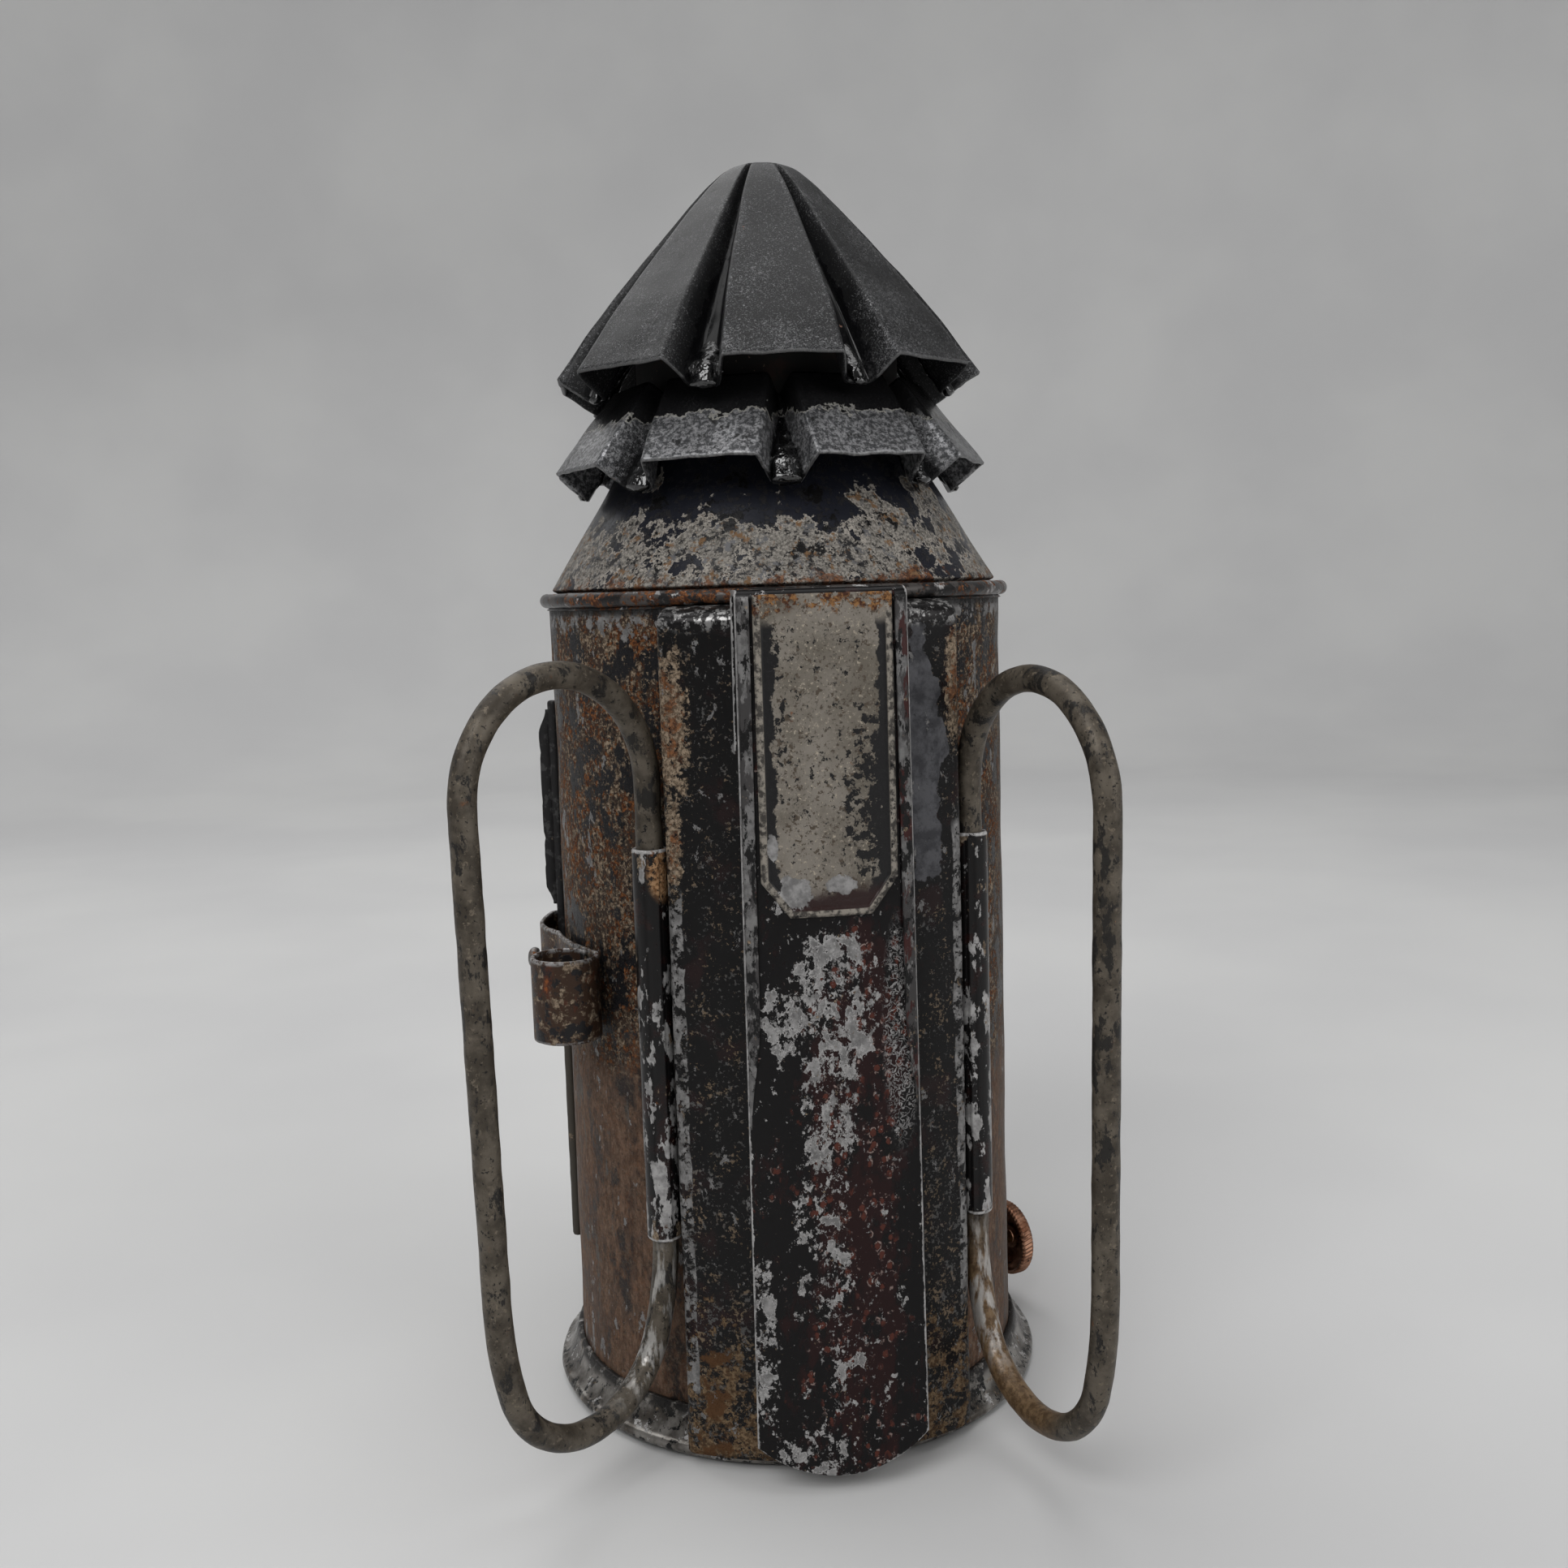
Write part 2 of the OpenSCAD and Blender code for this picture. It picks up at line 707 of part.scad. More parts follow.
module font_filler_cap() {
    color("#a88447")
    translate([filler_pos.x, filler_pos.y, 0]) {
        translate([0, 0, font_top_z - 3]) cylinder(r = filler_r - 0.1, h = 3);
        translate([0, 0, font_top_z + seat_gap]) cylinder(r = filler_r + 1.2, h = 3.2);
        translate([0, 0, font_top_z - 0.5]) cylinder(r = filler_r - 0.1, h = 1);
    }
}

module burner_collar() {
    color("#a88447")
    difference() {
        union() {
            translate([0, 0, font_top_z + seat_gap]) cylinder(r = well_r + 2.5, h = 1.6);
            translate([0, 0, winder_z + 1]) cylinder(r = well_r - 0.2, h = font_top_z - winder_z);
        }
        translate([0, 0, winder_z - over]) cylinder(r = well_r - 1, h = font_top_z - winder_z + over);
        spindle_channel(-0.2);
        wick_frame()
            translate([-wick_w / 2 - tube_gap - tube_wall - 0.1, -2, 0])
            cube([wick_w + 2 * (tube_gap + tube_wall + 0.1), 4, 40]);
    }
}

module wick_tube() {
    inner_w = wick_w + 2 * tube_gap;
    inner_t = wick_t + 2 * tube_gap;
    bottom_z = 5;
    color("#b08b4a")
    difference() {
        wick_frame()
            translate([-inner_w / 2 - tube_wall, -inner_t / 2 - tube_wall, bottom_z])
            cube([inner_w + 2 * tube_wall, inner_t + 2 * tube_wall, tube_top_z - bottom_z]);
        wick_frame()
            translate([-inner_w / 2, -inner_t / 2, 0])
            cube([inner_w, inner_t, tube_top_z + over]);
        for (x = [-star_spacing, star_spacing])
            wick_frame()
                translate([x - 1.1, -5, winder_z - 4.2]) cube([2.2, 5, 8.4]);
    }
}

module wick() {
    color("#e6dcc4")
    wick_frame() translate([-wick_w / 2, -wick_t / 2, 7]) cube([wick_w, wick_t, 39]);
}

module winder_spindle() {
    color("#9c7a3d")
    winder_frame() translate([0, 0, -6]) cylinder(r = spindle_r, h = knob_inner_t + 7.6, $fn = 32);
}

module star_wheels() {
    teeth = 10;
    color("#9c7a3d")
    for (x = [-star_spacing, star_spacing])
        winder_frame()
        translate([0, 0, x - 0.6])
        difference() {
            linear_extrude(1.2)
                polygon([for (k = [0 : 2 * teeth - 1])
                    let(r = k % 2 == 0 ? star_r : star_r - 0.9)
                    [r * cos(k * 180 / teeth), r * sin(k * 180 / teeth)]]);
            translate([0, 0, -over]) cylinder(r = spindle_r + 0.02, h = 4);
        }
}

// A dished thumbwheel whose hollow side faces the body
module wick_knob() {
    color("#a9714f")
    winder_frame()
    translate([0, 0, knob_inner_t])
    difference() {
        rotate_extrude($fn = 96)
        polygon([
            [0, 1.7], [2.2, 1.7], [2.2, knob_depth - 1], [4.4, knob_depth - 0.7],
            [knob_r - 0.9, 1], [knob_r - 0.8, 0], [knob_r, 0.3], [knob_r, 2.3],
            [knob_r - 1, 2.8], [4.8, knob_depth], [0, knob_depth]
        ]);
        translate([0, 0, -over]) cylinder(r = spindle_r + 0.02, h = over + 1.72);
    }
}

module spindle_bush() {
    color("#9c7a3d")
    winder_frame()
    translate([0, 0, 36.4])
    difference() {
        cylinder(r = 2.9, h = 3.4);
        translate([0, 0, -over]) cylinder(r = spindle_r + 0.06, h = 8);
    }
}

module reflector() {
    rim_angle = asin(reflector_r / reflector_curve_r);
    color("#b8b8b4")
    translate([0, reflector_apex_y, lens_z])
    rotate([90, 0, 0])
    rotate_extrude($fn = 96)
    polygon(concat(
        [for (a = [0 : rim_angle / 8 : rim_angle])
            [reflector_curve_r * sin(a), reflector_curve_r * (1 - cos(a))]],
        [for (a = [rim_angle : -rim_angle / 8 : 0])
            [(reflector_curve_r + 0.6) * sin(a),
             reflector_curve_r - (reflector_curve_r + 0.6) * cos(a)]]
    ));
}

module reflector_stem() {
    stem_y = reflector_apex_y + 0.65;
    color("#8e8e88")
    translate([-4, stem_y, font_top_z + seat_gap])
    cube([8, 0.8, lens_z - font_top_z + 4]);
}

body_shell();
top_bead();
base_pan();
base_flange();
heat_shield();
belt_clip();
clip_plate();
clip_rivets();
handle_sleeve_left();
handle_sleeve_right();
handle_left();
handle_right();
body_knuckles();
hinge_pin();
door_panel();
door_edge();
door_knuckles();
lens_barrel();
lens_bezel();
lens();
lens_retainer();
catch_strap();
catch_stud();
shoulder_cone();
neck_tube();
lower_pleat_ring();
upper_pleat_cap();
cap_legs();
dark_shutter();
oil_font();
font_filler_cap();
burner_collar();
wick_tube();
wick();
winder_spindle();
star_wheels();
wick_knob();
spindle_bush();
reflector();
reflector_stem();
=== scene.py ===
"""An old tinplate bullseye lantern with worn black japanning, seen from behind."""

import math

import bmesh
import bpy
import numpy as np
from mathutils import Matrix, Vector, noise


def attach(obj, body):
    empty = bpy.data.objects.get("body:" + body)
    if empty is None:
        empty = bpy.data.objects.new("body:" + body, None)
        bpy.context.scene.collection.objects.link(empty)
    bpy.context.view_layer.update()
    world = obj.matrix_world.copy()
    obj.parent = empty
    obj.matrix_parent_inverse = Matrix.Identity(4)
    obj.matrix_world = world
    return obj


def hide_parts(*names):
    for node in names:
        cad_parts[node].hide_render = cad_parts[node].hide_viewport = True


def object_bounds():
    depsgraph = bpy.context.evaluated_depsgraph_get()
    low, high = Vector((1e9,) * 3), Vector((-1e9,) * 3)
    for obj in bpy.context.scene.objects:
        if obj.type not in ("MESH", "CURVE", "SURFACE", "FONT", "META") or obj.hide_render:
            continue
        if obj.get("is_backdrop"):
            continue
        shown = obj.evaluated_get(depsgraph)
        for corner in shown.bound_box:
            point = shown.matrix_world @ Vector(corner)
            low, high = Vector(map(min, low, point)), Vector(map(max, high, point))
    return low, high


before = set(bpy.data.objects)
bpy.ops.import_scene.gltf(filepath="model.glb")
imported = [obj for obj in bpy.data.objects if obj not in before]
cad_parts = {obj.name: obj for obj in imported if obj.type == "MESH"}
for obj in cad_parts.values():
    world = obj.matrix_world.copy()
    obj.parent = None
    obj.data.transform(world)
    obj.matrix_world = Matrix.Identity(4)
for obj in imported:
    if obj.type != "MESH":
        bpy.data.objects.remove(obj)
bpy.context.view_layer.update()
scene = bpy.context.scene
MM = 0.001

# Sizes in mm, as in the CAD source -------------------------------------------------------

BODY_R, SHEET, RIM_Z = 38.0, 0.8, 134.35
WINDOW_ANGLE, WINDOW_LOW_Z, WINDOW_TOP_Z = 118, 25, 110
SHIELD_R, SHIELD_HALF, SHIELD_SHEET = 43.35, 32.2, 0.65
SHIELD_LOW_Z, SHIELD_TOP_Z, SHIELD_TOP_ROUND, SHIELD_FOOT_R = 2.0, 130.6, 2.5, 38.35
CLIP_R, CLIP_SHEET, CLIP_TOP_Z = 48.6, 0.9, 135.2
CLIP_LOW_Z, CLIP_LEAF_Z, CLIP_TIP_HALF, CLIP_TIP_H = 2.85, 112.0, 13.0, 4.8
HEM_LOW_Z, HEM_TOP_Z = 57, 134.2
PLATE_LOW_Z, PLATE_SHOULDER_Z, PLATE_TOP_Z = 88.3, 93.5, 134.4
SLEEVE_AXIS_R, SLEEVE_ANGLE, SLEEVE_R, WIRE_R = 41.4, 36.7, 2.9, 2.1
PLATE_FOOT_HALF, PLATE_HALF = 6.0, 10.0
SLEEVE_LOW_Z, SLEEVE_TOP_Z, SLEEVE_LAP_ANGLE = 36.0, 97.0, 62.0
CAP_PHASE, PLEATS, CAP_SHEET = 86.5, 8, 0.6
PLEAT_HALF, FACE_HALF, PLEAT_DEPTH = 22.5, 14.6, 6.4
DOOR_R, DOOR_EDGE_R, DOOR_EDGE_ANGLE = 38.7, 40.1, 107.5
DOOR_LOW_Z, DOOR_TOP_Z, FLANGE_LOW_Z, FLANGE_TOP_Z = 18.8, 117.0, 80.6, 115.4
CATCH_Z0, CATCH_Z1, CATCH_SHEET, CATCH_ANGLE, STUD_ANGLE = 65.7, 79.0, 0.7, 121, 98.0
WINDER_ANGLE, WINDER_Z, WINDER_OFFSET, KNOB_T = 110.0, 11.4, 4.6, 42.4
FLAT_R, BEND_R, WALL_TOP, WALL_SHIFT = 1200, 450, 2400, 350
UP = np.array([0, 0, 1.0])

# Geometry helpers ------------------------------------------------------------------------


def polar(angle, r, z):
    """Points at angles from the back towards +X, radii and heights."""
    a = np.radians(angle)
    return np.stack(np.broadcast_arrays(r * np.sin(a), r * np.cos(a), z), axis=-1).astype(float)


def directions(a):
    """Unit vectors outward from the lantern's axis and to the side, at an angle from +X."""
    return np.array([math.cos(a), math.sin(a), 0]), np.array([-math.sin(a), math.cos(a), 0])


def wobble(points, size, seed):
    """Smooth noise from about -1 to 1 at points, which changes over `size` mm."""
    flat = np.asarray(points, float).reshape(-1, 3)
    shift = Vector((seed * 13.7, seed * 7.1, seed * 3.3))
    values = [
        noise.noise(Vector(p) / size + shift) + 0.4 * noise.noise(Vector(p) * (2.3 / size) - shift)
        for p in flat
    ]
    return np.array(values).reshape(np.asarray(points).shape[:-1])


def smooth_line(points, count):
    """`count` points along a smooth curve through the given ones."""
    pts = np.array(points, float)
    d = np.r_[0, np.cumsum(np.linalg.norm(np.diff(pts, axis=0), axis=1))]
    slope = np.gradient(pts, d, axis=0)
    s = np.linspace(0, d[-1], count)
    i = np.clip(np.searchsorted(d, s, side="right") - 1, 0, len(d) - 2)
    h = (d[i + 1] - d[i])[:, None]
    t = (s - d[i])[:, None] / h
    return (
        (2 * t**3 - 3 * t**2 + 1) * pts[i]
        + (t**3 - 2 * t**2 + t) * h * slope[i]
        + (-2 * t**3 + 3 * t**2) * pts[i + 1]
        + (t**3 - t**2) * h * slope[i + 1]
    )


def rounded(corners, radius, steps=4, closed=True):
    """A polyline whose corners are rounded; radius may be a list, one for each corner."""
    pts = [np.array(p, float) for p in corners]
    n = len(pts)
    radii = radius if hasattr(radius, "__len__") else [radius] * n
    line = []
    for k, p in enumerate(pts):
        if not closed and k in (0, n - 1):
            line.append(p)
            continue
        a, b = pts[k - 1] - p, pts[(k + 1) % n] - p
        la, lb = np.linalg.norm(a), np.linalg.norm(b)
        cut = min(radii[k], la * 0.49, lb * 0.49)
        p0, p1 = p + a / la * cut, p + b / lb * cut
        for t in np.linspace(0, 1, steps + 1):
            line.append((1 - t) ** 2 * p0 + 2 * t * (1 - t) * p + t**2 * p1)
    return np.array(line)


def dense(line, step, closed=True):
    """The same polyline with no edge longer than `step`."""
    out = []
    n = len(line)
    for k in range(n if closed else n - 1):
        a, b = line[k], line[(k + 1) % n]
        parts = max(1, int(math.ceil(np.linalg.norm(b - a) / step)))
        out += [a + (b - a) * i / parts for i in range(parts)]
    if not closed:
        out.append(line[-1])
    return np.array(out)


def grid_faces(nu, nv, wrap_u, wrap_v):
    """Quads of a grid of nu by nv points, each as four indices."""
    return [
        (i * nv + j, (i + 1) % nu * nv + j, (i + 1) % nu * nv + (j + 1) % nv, i * nv + (j + 1) % nv)
        for i in range(nu if wrap_u else nu - 1)
        for j in range(nv if wrap_v else nv - 1)
    ]


def grid_normals(grid, wrap_u=False, wrap_v=False):
    """Unit normals of a grid of points, the cross product of its two directions."""

    def along(axis, wrap):
        if wrap:
            return np.roll(grid, -1, axis) - np.roll(grid, 1, axis)
        return np.gradient(grid, axis=axis)

    n = np.cross(along(0, wrap_u), along(1, wrap_v))
    return n / np.maximum(np.linalg.norm(n, axis=-1, keepdims=True), 1e-9)


def piece(name, points, faces, surface, body, replaces=(), slot=None, attributes=None):
    """A mesh piece from points in mm, which rides on a body."""
    mesh = bpy.data.meshes.new(name)
    pts = np.asarray(points, float).reshape(-1, 3) * MM
    mesh.from_pydata([tuple(p) for p in pts], [], [tuple(f) for f in faces])
    for key, values in (attributes or {}).items():
        mesh.attributes.new(key, "FLOAT", "POINT").data.foreach_set(
            "value", np.asarray(values, np.float32).ravel()
        )
    tidy = bmesh.new()
    tidy.from_mesh(mesh)
    bmesh.ops.remove_doubles(tidy, verts=tidy.verts, dist=1e-7)
    bmesh.ops.recalc_face_normals(tidy, faces=tidy.faces)
    tidy.to_mesh(mesh)
    tidy.free()
    mesh.shade_smooth()
    mesh.materials.append(surface)
    obj = bpy.data.objects.new(name, mesh)
    scene.collection.objects.link(obj)
    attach(obj, body)
    if replaces:
        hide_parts(*replaces)
    return obj


def grid_piece(name, grid, surface, body, wrap_u=False, wrap_v=False, caps=False, **more):
    """A piece from a grid of points. Caps close the two ends of a tube of sections."""
    nu, nv = grid.shape[:2]
    faces = grid_faces(nu, nv, wrap_u, wrap_v)
    if caps:
        faces += [tuple(range(nv)), tuple((nu - 1) * nv + j for j in range(nv))]
    return piece(name, grid, faces, surface, body, **more)


def sheet_grid(outer, thickness, lip=0.3):
    """Closes a grid into a sheet of that thickness, with rounded edges along its u ends. The
    new sheet lies on the inner side, against the grid's normals."""
    inner = outer - grid_normals(outer) * thickness

    def edge(k, step):
        out = outer[k] - outer[k + step]
        out /= np.maximum(np.linalg.norm(out, axis=-1, keepdims=True), 1e-9)
        return (outer[k] + inner[k]) / 2 + out * thickness * lip

    first, last = edge(0, 1), edge(-1, -1)
    return np.concatenate([outer, last[None], inner[::-1], first[None]])


def revolve(profile, count):
    """Grid of a closed profile (r, z) turned round the lantern's axis."""
    angle = np.linspace(0, 360, count, endpoint=False)[:, None]
    return polar(angle, profile[None, :, 0], profile[None, :, 1])


def solidify(obj, thickness, offset=-1.0):
    """A sheet's thickness in mm, inward unless the offset says otherwise."""
    mod = obj.modifiers.new("thickness", "SOLIDIFY")
    mod.thickness = thickness * MM
    mod.offset = offset
    mod.use_even_offset = True
    return obj


def bevel(obj, width, segments=2, angle=35):
    """Rounds the sharp edges by a width in mm."""
    mod = obj.modifiers.new("edges", "BEVEL")
    mod.width = width * MM
    mod.segments = segments
    mod.limit_method = "ANGLE"
    mod.angle_limit = math.radians(angle)
    mod.harden_normals = False
    return obj


def step(x, low, high):
    """0 below low, 1 above high, smooth between."""
    t = np.clip((x - low) / (high - low), 0, 1)
    return t * t * (3 - 2 * t)


# Materials -------------------------------------------------------------------------------


class Value:
    """A node's output, with arithmetic that adds nodes."""

    def __init__(self, surface, socket):
        self.surface, self.socket = surface, socket

    def _op(self, op, *others):
        return self.surface.math(op, self, *others)

    def __add__(self, o):
        return self._op("ADD", o)

    __radd__ = __add__

    def __mul__(self, o):
        return self._op("MULTIPLY", o)

    __rmul__ = __mul__

    def __sub__(self, o):
        return self._op("SUBTRACT", o)

    def __rsub__(self, o):
        return self.surface.math("SUBTRACT", o, self)

    def max(self, o):
        return self._op("MAXIMUM", o)

    def min(self, o):
        return self._op("MINIMUM", o)

    def abs(self):
        return self._op("ABSOLUTE")

    def power(self, o):
        return self._op("POWER", o)

    def step(self, low, high):
        """0 below low, 1 above high, smooth between."""
        node = self.surface.node("ShaderNodeMapRange")
        node.interpolation_type = "SMOOTHSTEP"
        for key, v in (("Value", self), ("From Min", low), ("From Max", high)):
            self.surface.feed(node.inputs[key], v)
        return Value(self.surface, node.outputs[0])


class Surface:
    """A layered material. Each layer covers what is under it where its mask is 1."""

    def __init__(self, name, colour, rough, metal=0.0, grain=0.012, grain_size=0.3):
        self.material = bpy.data.materials.new(name)
        self.material.use_nodes = True
        self.tree = self.material.node_tree
        self.tree.nodes.clear()
        self.shader = self.node("ShaderNodeBsdfPrincipled")
        output = self.node("ShaderNodeOutputMaterial")
        self.tree.links.new(self.shader.outputs[0], output.inputs[0])
        coord = self.node("ShaderNodeTexCoord")
        scale = self.node("ShaderNodeVectorMath")
        scale.operation = "MULTIPLY"
        scale.inputs[1].default_value = (1 / MM,) * 3
        self.tree.links.new(coord.outputs["Object"], scale.inputs[0])
        self.mm = scale.outputs[0]
        split = self.node("ShaderNodeSeparateXYZ")
        self.tree.links.new(self.mm, split.inputs[0])
        self.x, self.y, self.z = (Value(self, s) for s in split.outputs)
        self.angle = self.math("ARCTAN2", self.x, self.y) * (180 / math.pi)
        self.colour, self.rough, self.metal, self.height = colour, rough, metal, 0.0
        self.grain, self.grain_size = grain, grain_size

    def node(self, kind):
        return self.tree.nodes.new(kind)

    def feed(self, socket, value):
        if isinstance(value, Value):
            self.tree.links.new(value.socket, socket)
        elif isinstance(value, tuple) and len(value) == 3 and len(socket.default_value) == 4:
            socket.default_value = (*value, 1.0)
        else:
            socket.default_value = value

    def math(self, op, *values):
        node = self.node("ShaderNodeMath")
        node.operation = op
        for socket, value in zip(node.inputs, values):
            self.feed(socket, value)
        return Value(self, node.outputs[0])

    def _place(self, size, stretch, seed):
        """Coordinates for a texture with features about `size` mm across."""
        place = self.node("ShaderNodeVectorMath")
        place.operation = "MULTIPLY_ADD"
        self.tree.links.new(self.mm, place.inputs[0])
        place.inputs[1].default_value = (1 / size, 1 / size, stretch / size)
        place.inputs[2].default_value = (seed * 3.1, seed * 5.7, seed * 2.3)
        return place.outputs[0]

    def noise(self, size, detail=6.0, rough=0.6, distort=0.0, stretch=1.0, seed=0.0):
        """Noise from 0 to 1 with features about `size` mm across, taller where stretch < 1."""
        node = self.node("ShaderNodeTexNoise")
        self.tree.links.new(self._place(size, stretch, seed), node.inputs["Vector"])
        node.inputs["Scale"].default_value = 1.0
        node.inputs["Detail"].default_value = detail
        node.inputs["Roughness"].default_value = rough
        node.inputs["Distortion"].default_value = distort
        return Value(self, node.outputs["Fac"])

    def fleck(self, size, detail, rough, seed, low, high, **more):
        """A mask that is 1 where noise is above `high` and 0 where it is below `low`."""
        return self.noise(size, detail, rough, seed=seed, **more).step(low, high)

    def mottle(self, size, detail, rough, seed, low, high, dark, light, **more):
        """One colour over another in flecks."""
        return self.mix(self.fleck(size, detail, rough, seed, low, high, **more), dark, light)

    def spots(self, size, seed=0.0, stretch=1.0):
        """Distance from the middles of scattered cells, in cells."""
        node = self.node("ShaderNodeTexVoronoi")
        self.tree.links.new(self._place(size, stretch, seed), node.inputs["Vector"])
        node.inputs["Scale"].default_value = 1.0
        return Value(self, node.outputs["Distance"])

    def attribute(self, name):
        node = self.node("ShaderNodeAttribute")
        node.attribute_name = name
        return Value(self, node.outputs["Fac"])

    def patch(self, u, centre, half, z, z_centre, z_half):
        """1 in the middle of an ellipse, 0 on its edge and negative outside."""
        a = (u - centre) * (1 / half)
        b = (z - z_centre) * (1 / z_half)
        return 1 - (a * a + b * b).power(0.5)

    def inside(self, u, centre, half, z, z_centre, z_half):
        """1 within an ellipse, with a wide soft edge."""
        return self.patch(u, centre, half, z, z_centre, z_half).step(-0.15, 0.35)

    def band(self, u, low, high, soft):
        """1 between two values, with soft edges."""
        return u.step(low - soft, low + soft) * (1 - u.step(high - soft, high + soft))

    def mix(self, mask, a, b):
        if not isinstance(a, Value) and not isinstance(b, Value) and a == b:
            return a
        node = self.node("ShaderNodeMix")
        colour = any(isinstance(v, tuple) or getattr(v, "is_colour", False) for v in (a, b))
        node.data_type = "RGBA" if colour else "FLOAT"
        i = 6 if colour else 2
        self.feed(node.inputs[0], mask)
        self.feed(node.inputs[i], a)
        self.feed(node.inputs[i + 1], b)
        result = Value(self, node.outputs[2 if colour else 0])
        result.is_colour = colour
        return result

    def layer(self, mask, colour=None, rough=None, metal=None, lift=0.0):
        if colour is not None:
            self.colour = self.mix(mask, self.colour, colour)
        if rough is not None:
            self.rough = self.mix(mask, self.rough, rough)
        if metal is not None:
            self.metal = self.mix(mask, self.metal, metal)
        if lift:
            self.height = self.height + mask * lift if self.height else mask * lift

    def done(self, **settings):
        if self.grain:
            fine = self.noise(self.grain_size, 3, 0.6, seed=9) * self.grain
            self.height = self.height + fine if self.height else fine
        self.feed(self.shader.inputs["Base Color"], self.colour)
        self.feed(self.shader.inputs["Roughness"], self.rough)
        self.feed(self.shader.inputs["Metallic"], self.metal)
        if self.height:
            bump = self.node("ShaderNodeBump")
            bump.inputs["Strength"].default_value = 1.0
            bump.inputs["Distance"].default_value = MM
            self.feed(bump.inputs["Height"], self.height)
            self.tree.links.new(bump.outputs[0], self.shader.inputs["Normal"])
        for key, v in {"Specular IOR Level": 0.24, **settings}.items():
            self.shader.inputs[key].default_value = v
        return self.material


BLACK = (0.006, 0.0056, 0.0058)
BLUE_BLACK = (0.012, 0.013, 0.019)
TIN = (0.36, 0.352, 0.348)
TIN_DARK = (0.105, 0.104, 0.108)
TAN = (0.3, 0.232, 0.165)
TAN_DARK = (0.085, 0.06, 0.04)
RUST = (0.23, 0.088, 0.03)
RUST_DARK = (0.055, 0.021, 0.011)


def most(first, *others):
    """The greatest of several masks."""
    for other in others:
        first = first.max(other)
    return first


def bare_tin(s, mask, lift=-0.04, bright=1.0):
    """Satin grey tin, a little mottled."""
    mottle = s.noise(1.6, 5, 0.65, seed=21)
    tint = s.mix(mottle.step(0.35, 0.65), tuple(c * bright * 0.62 for c in TIN),
                 tuple(c * bright * 1.2 for c in TIN))
    s.layer(mask, tint, 0.42, 0.3, lift)


def chips(s, field, level, bright=1.0, lift=-0.05):
    """Bare patches where a field passes a level, with a painted highlight along the edge where the
    paint ends.
    """
    bare_tin(s, field.step(level, level + 0.01), lift, bright * 0.85)
    # painted highlight: a bright tin-coloured line along each chip's edge, where the raised paint
    # edge would catch the light
    edge = s.band(field, level + 0.004, level + 0.032, 0.006)
    s.layer(edge, tuple(c * bright * 1.45 for c in TIN), 0.38, 0.2)


def tan_crust(s, mask, lift=0.02):
    """Dull granular brown-grey oxide."""
    grit = s.noise(0.55, 5, 0.7, seed=22)
    tint = s.mix(grit.step(0.4, 0.62), TAN_DARK, TAN)
    s.layer(mask, tint, 0.82, 0.0, lift)


def rust(s, mask, lift=0.03):
    grit = s.noise(0.7, 6, 0.7, seed=23)
    tint = s.mix(grit.step(0.42, 0.64), RUST_DARK, RUST)
    s.layer(mask, tint, 0.85, 0.0, lift)


def make_cap(name, worn, torn_z=None):
    s = Surface(name, (0.0085, 0.0085, 0.009), 0.38, 0.1, grain=0.0)
    broad = s.noise(10, 5, 0.6, seed=1)
    sparkle = s.noise(0.26, 3, 0.8, seed=2)
    edge, valley = s.attribute("edge"), s.attribute("valley")
    level = 0.56 - worn - edge * 0.07 + valley * 0.1 - (broad - 0.5) * 0.3
    grains = (sparkle - level).step(-0.03, 0.09)
    bright = 1.5 if torn_z else 1.0
    tint = s.mottle(0.7, 4, 0.75, 12, 0.42, 0.62, (0.05, 0.051, 0.054),
                    (0.185 * bright, 0.185 * bright, 0.19 * bright))
    s.layer(grains, tint, 0.36, 0.5, 0.02)
    s.layer(s.fleck(2.4, 7, 0.7, 3, 0.57, 0.66), (0.01, 0.01, 0.01), 0.45, 0.1, -0.012)
    s.layer(((edge - 0.93) + (s.noise(0.8, 4, 0.6, seed=5) - 0.5) * 0.25).step(0.0, 0.06) * 0.55,
            (0.16, 0.16, 0.16), 0.4, 0.6)
    wet = (valley + (s.noise(3.0, 5, 0.6, seed=6) - 0.5) * 0.8).step(0.56, 0.76)
    s.layer(wet, (0.004, 0.004, 0.0045), 0.14, 0.0, 0.05)
    if torn_z:
        level = s.z + (s.noise(3.2, 6, 0.62, seed=15) - 0.5) * 7.5 - torn_z
        s.layer(level.step(-0.1, 0.1), (0.007, 0.007, 0.0075), 0.22, 0.0, 0.06)
        s.layer(s.band(level, -0.2, 0.1, 0.08) * 0.8, (0.34, 0.33, 0.3), 0.45, 0.3, 0.03)
    chip = (s.noise(2.6, 4, 0.6, seed=7) + valley * 0.06 + edge * 0.02).step(0.755, 0.765)
    s.layer(chip, (0.19, 0.105, 0.075), 0.6, 0.0, -0.04)
    return s.done()


def make_tar():
    s = Surface("glossy_black_drips", (0.003, 0.003, 0.0033), 0.07, 0.0, grain=0.0)
    s.layer(s.fleck(1.4, 4, 0.6, 4, 0.55, 0.75), (0.006, 0.0055, 0.005), 0.22, 0.0, 0.05)
    s.height = s.height + s.noise(1.3, 2, 0.5, seed=3) * 0.42
    return s.done(**{"Specular IOR Level": 0.9})


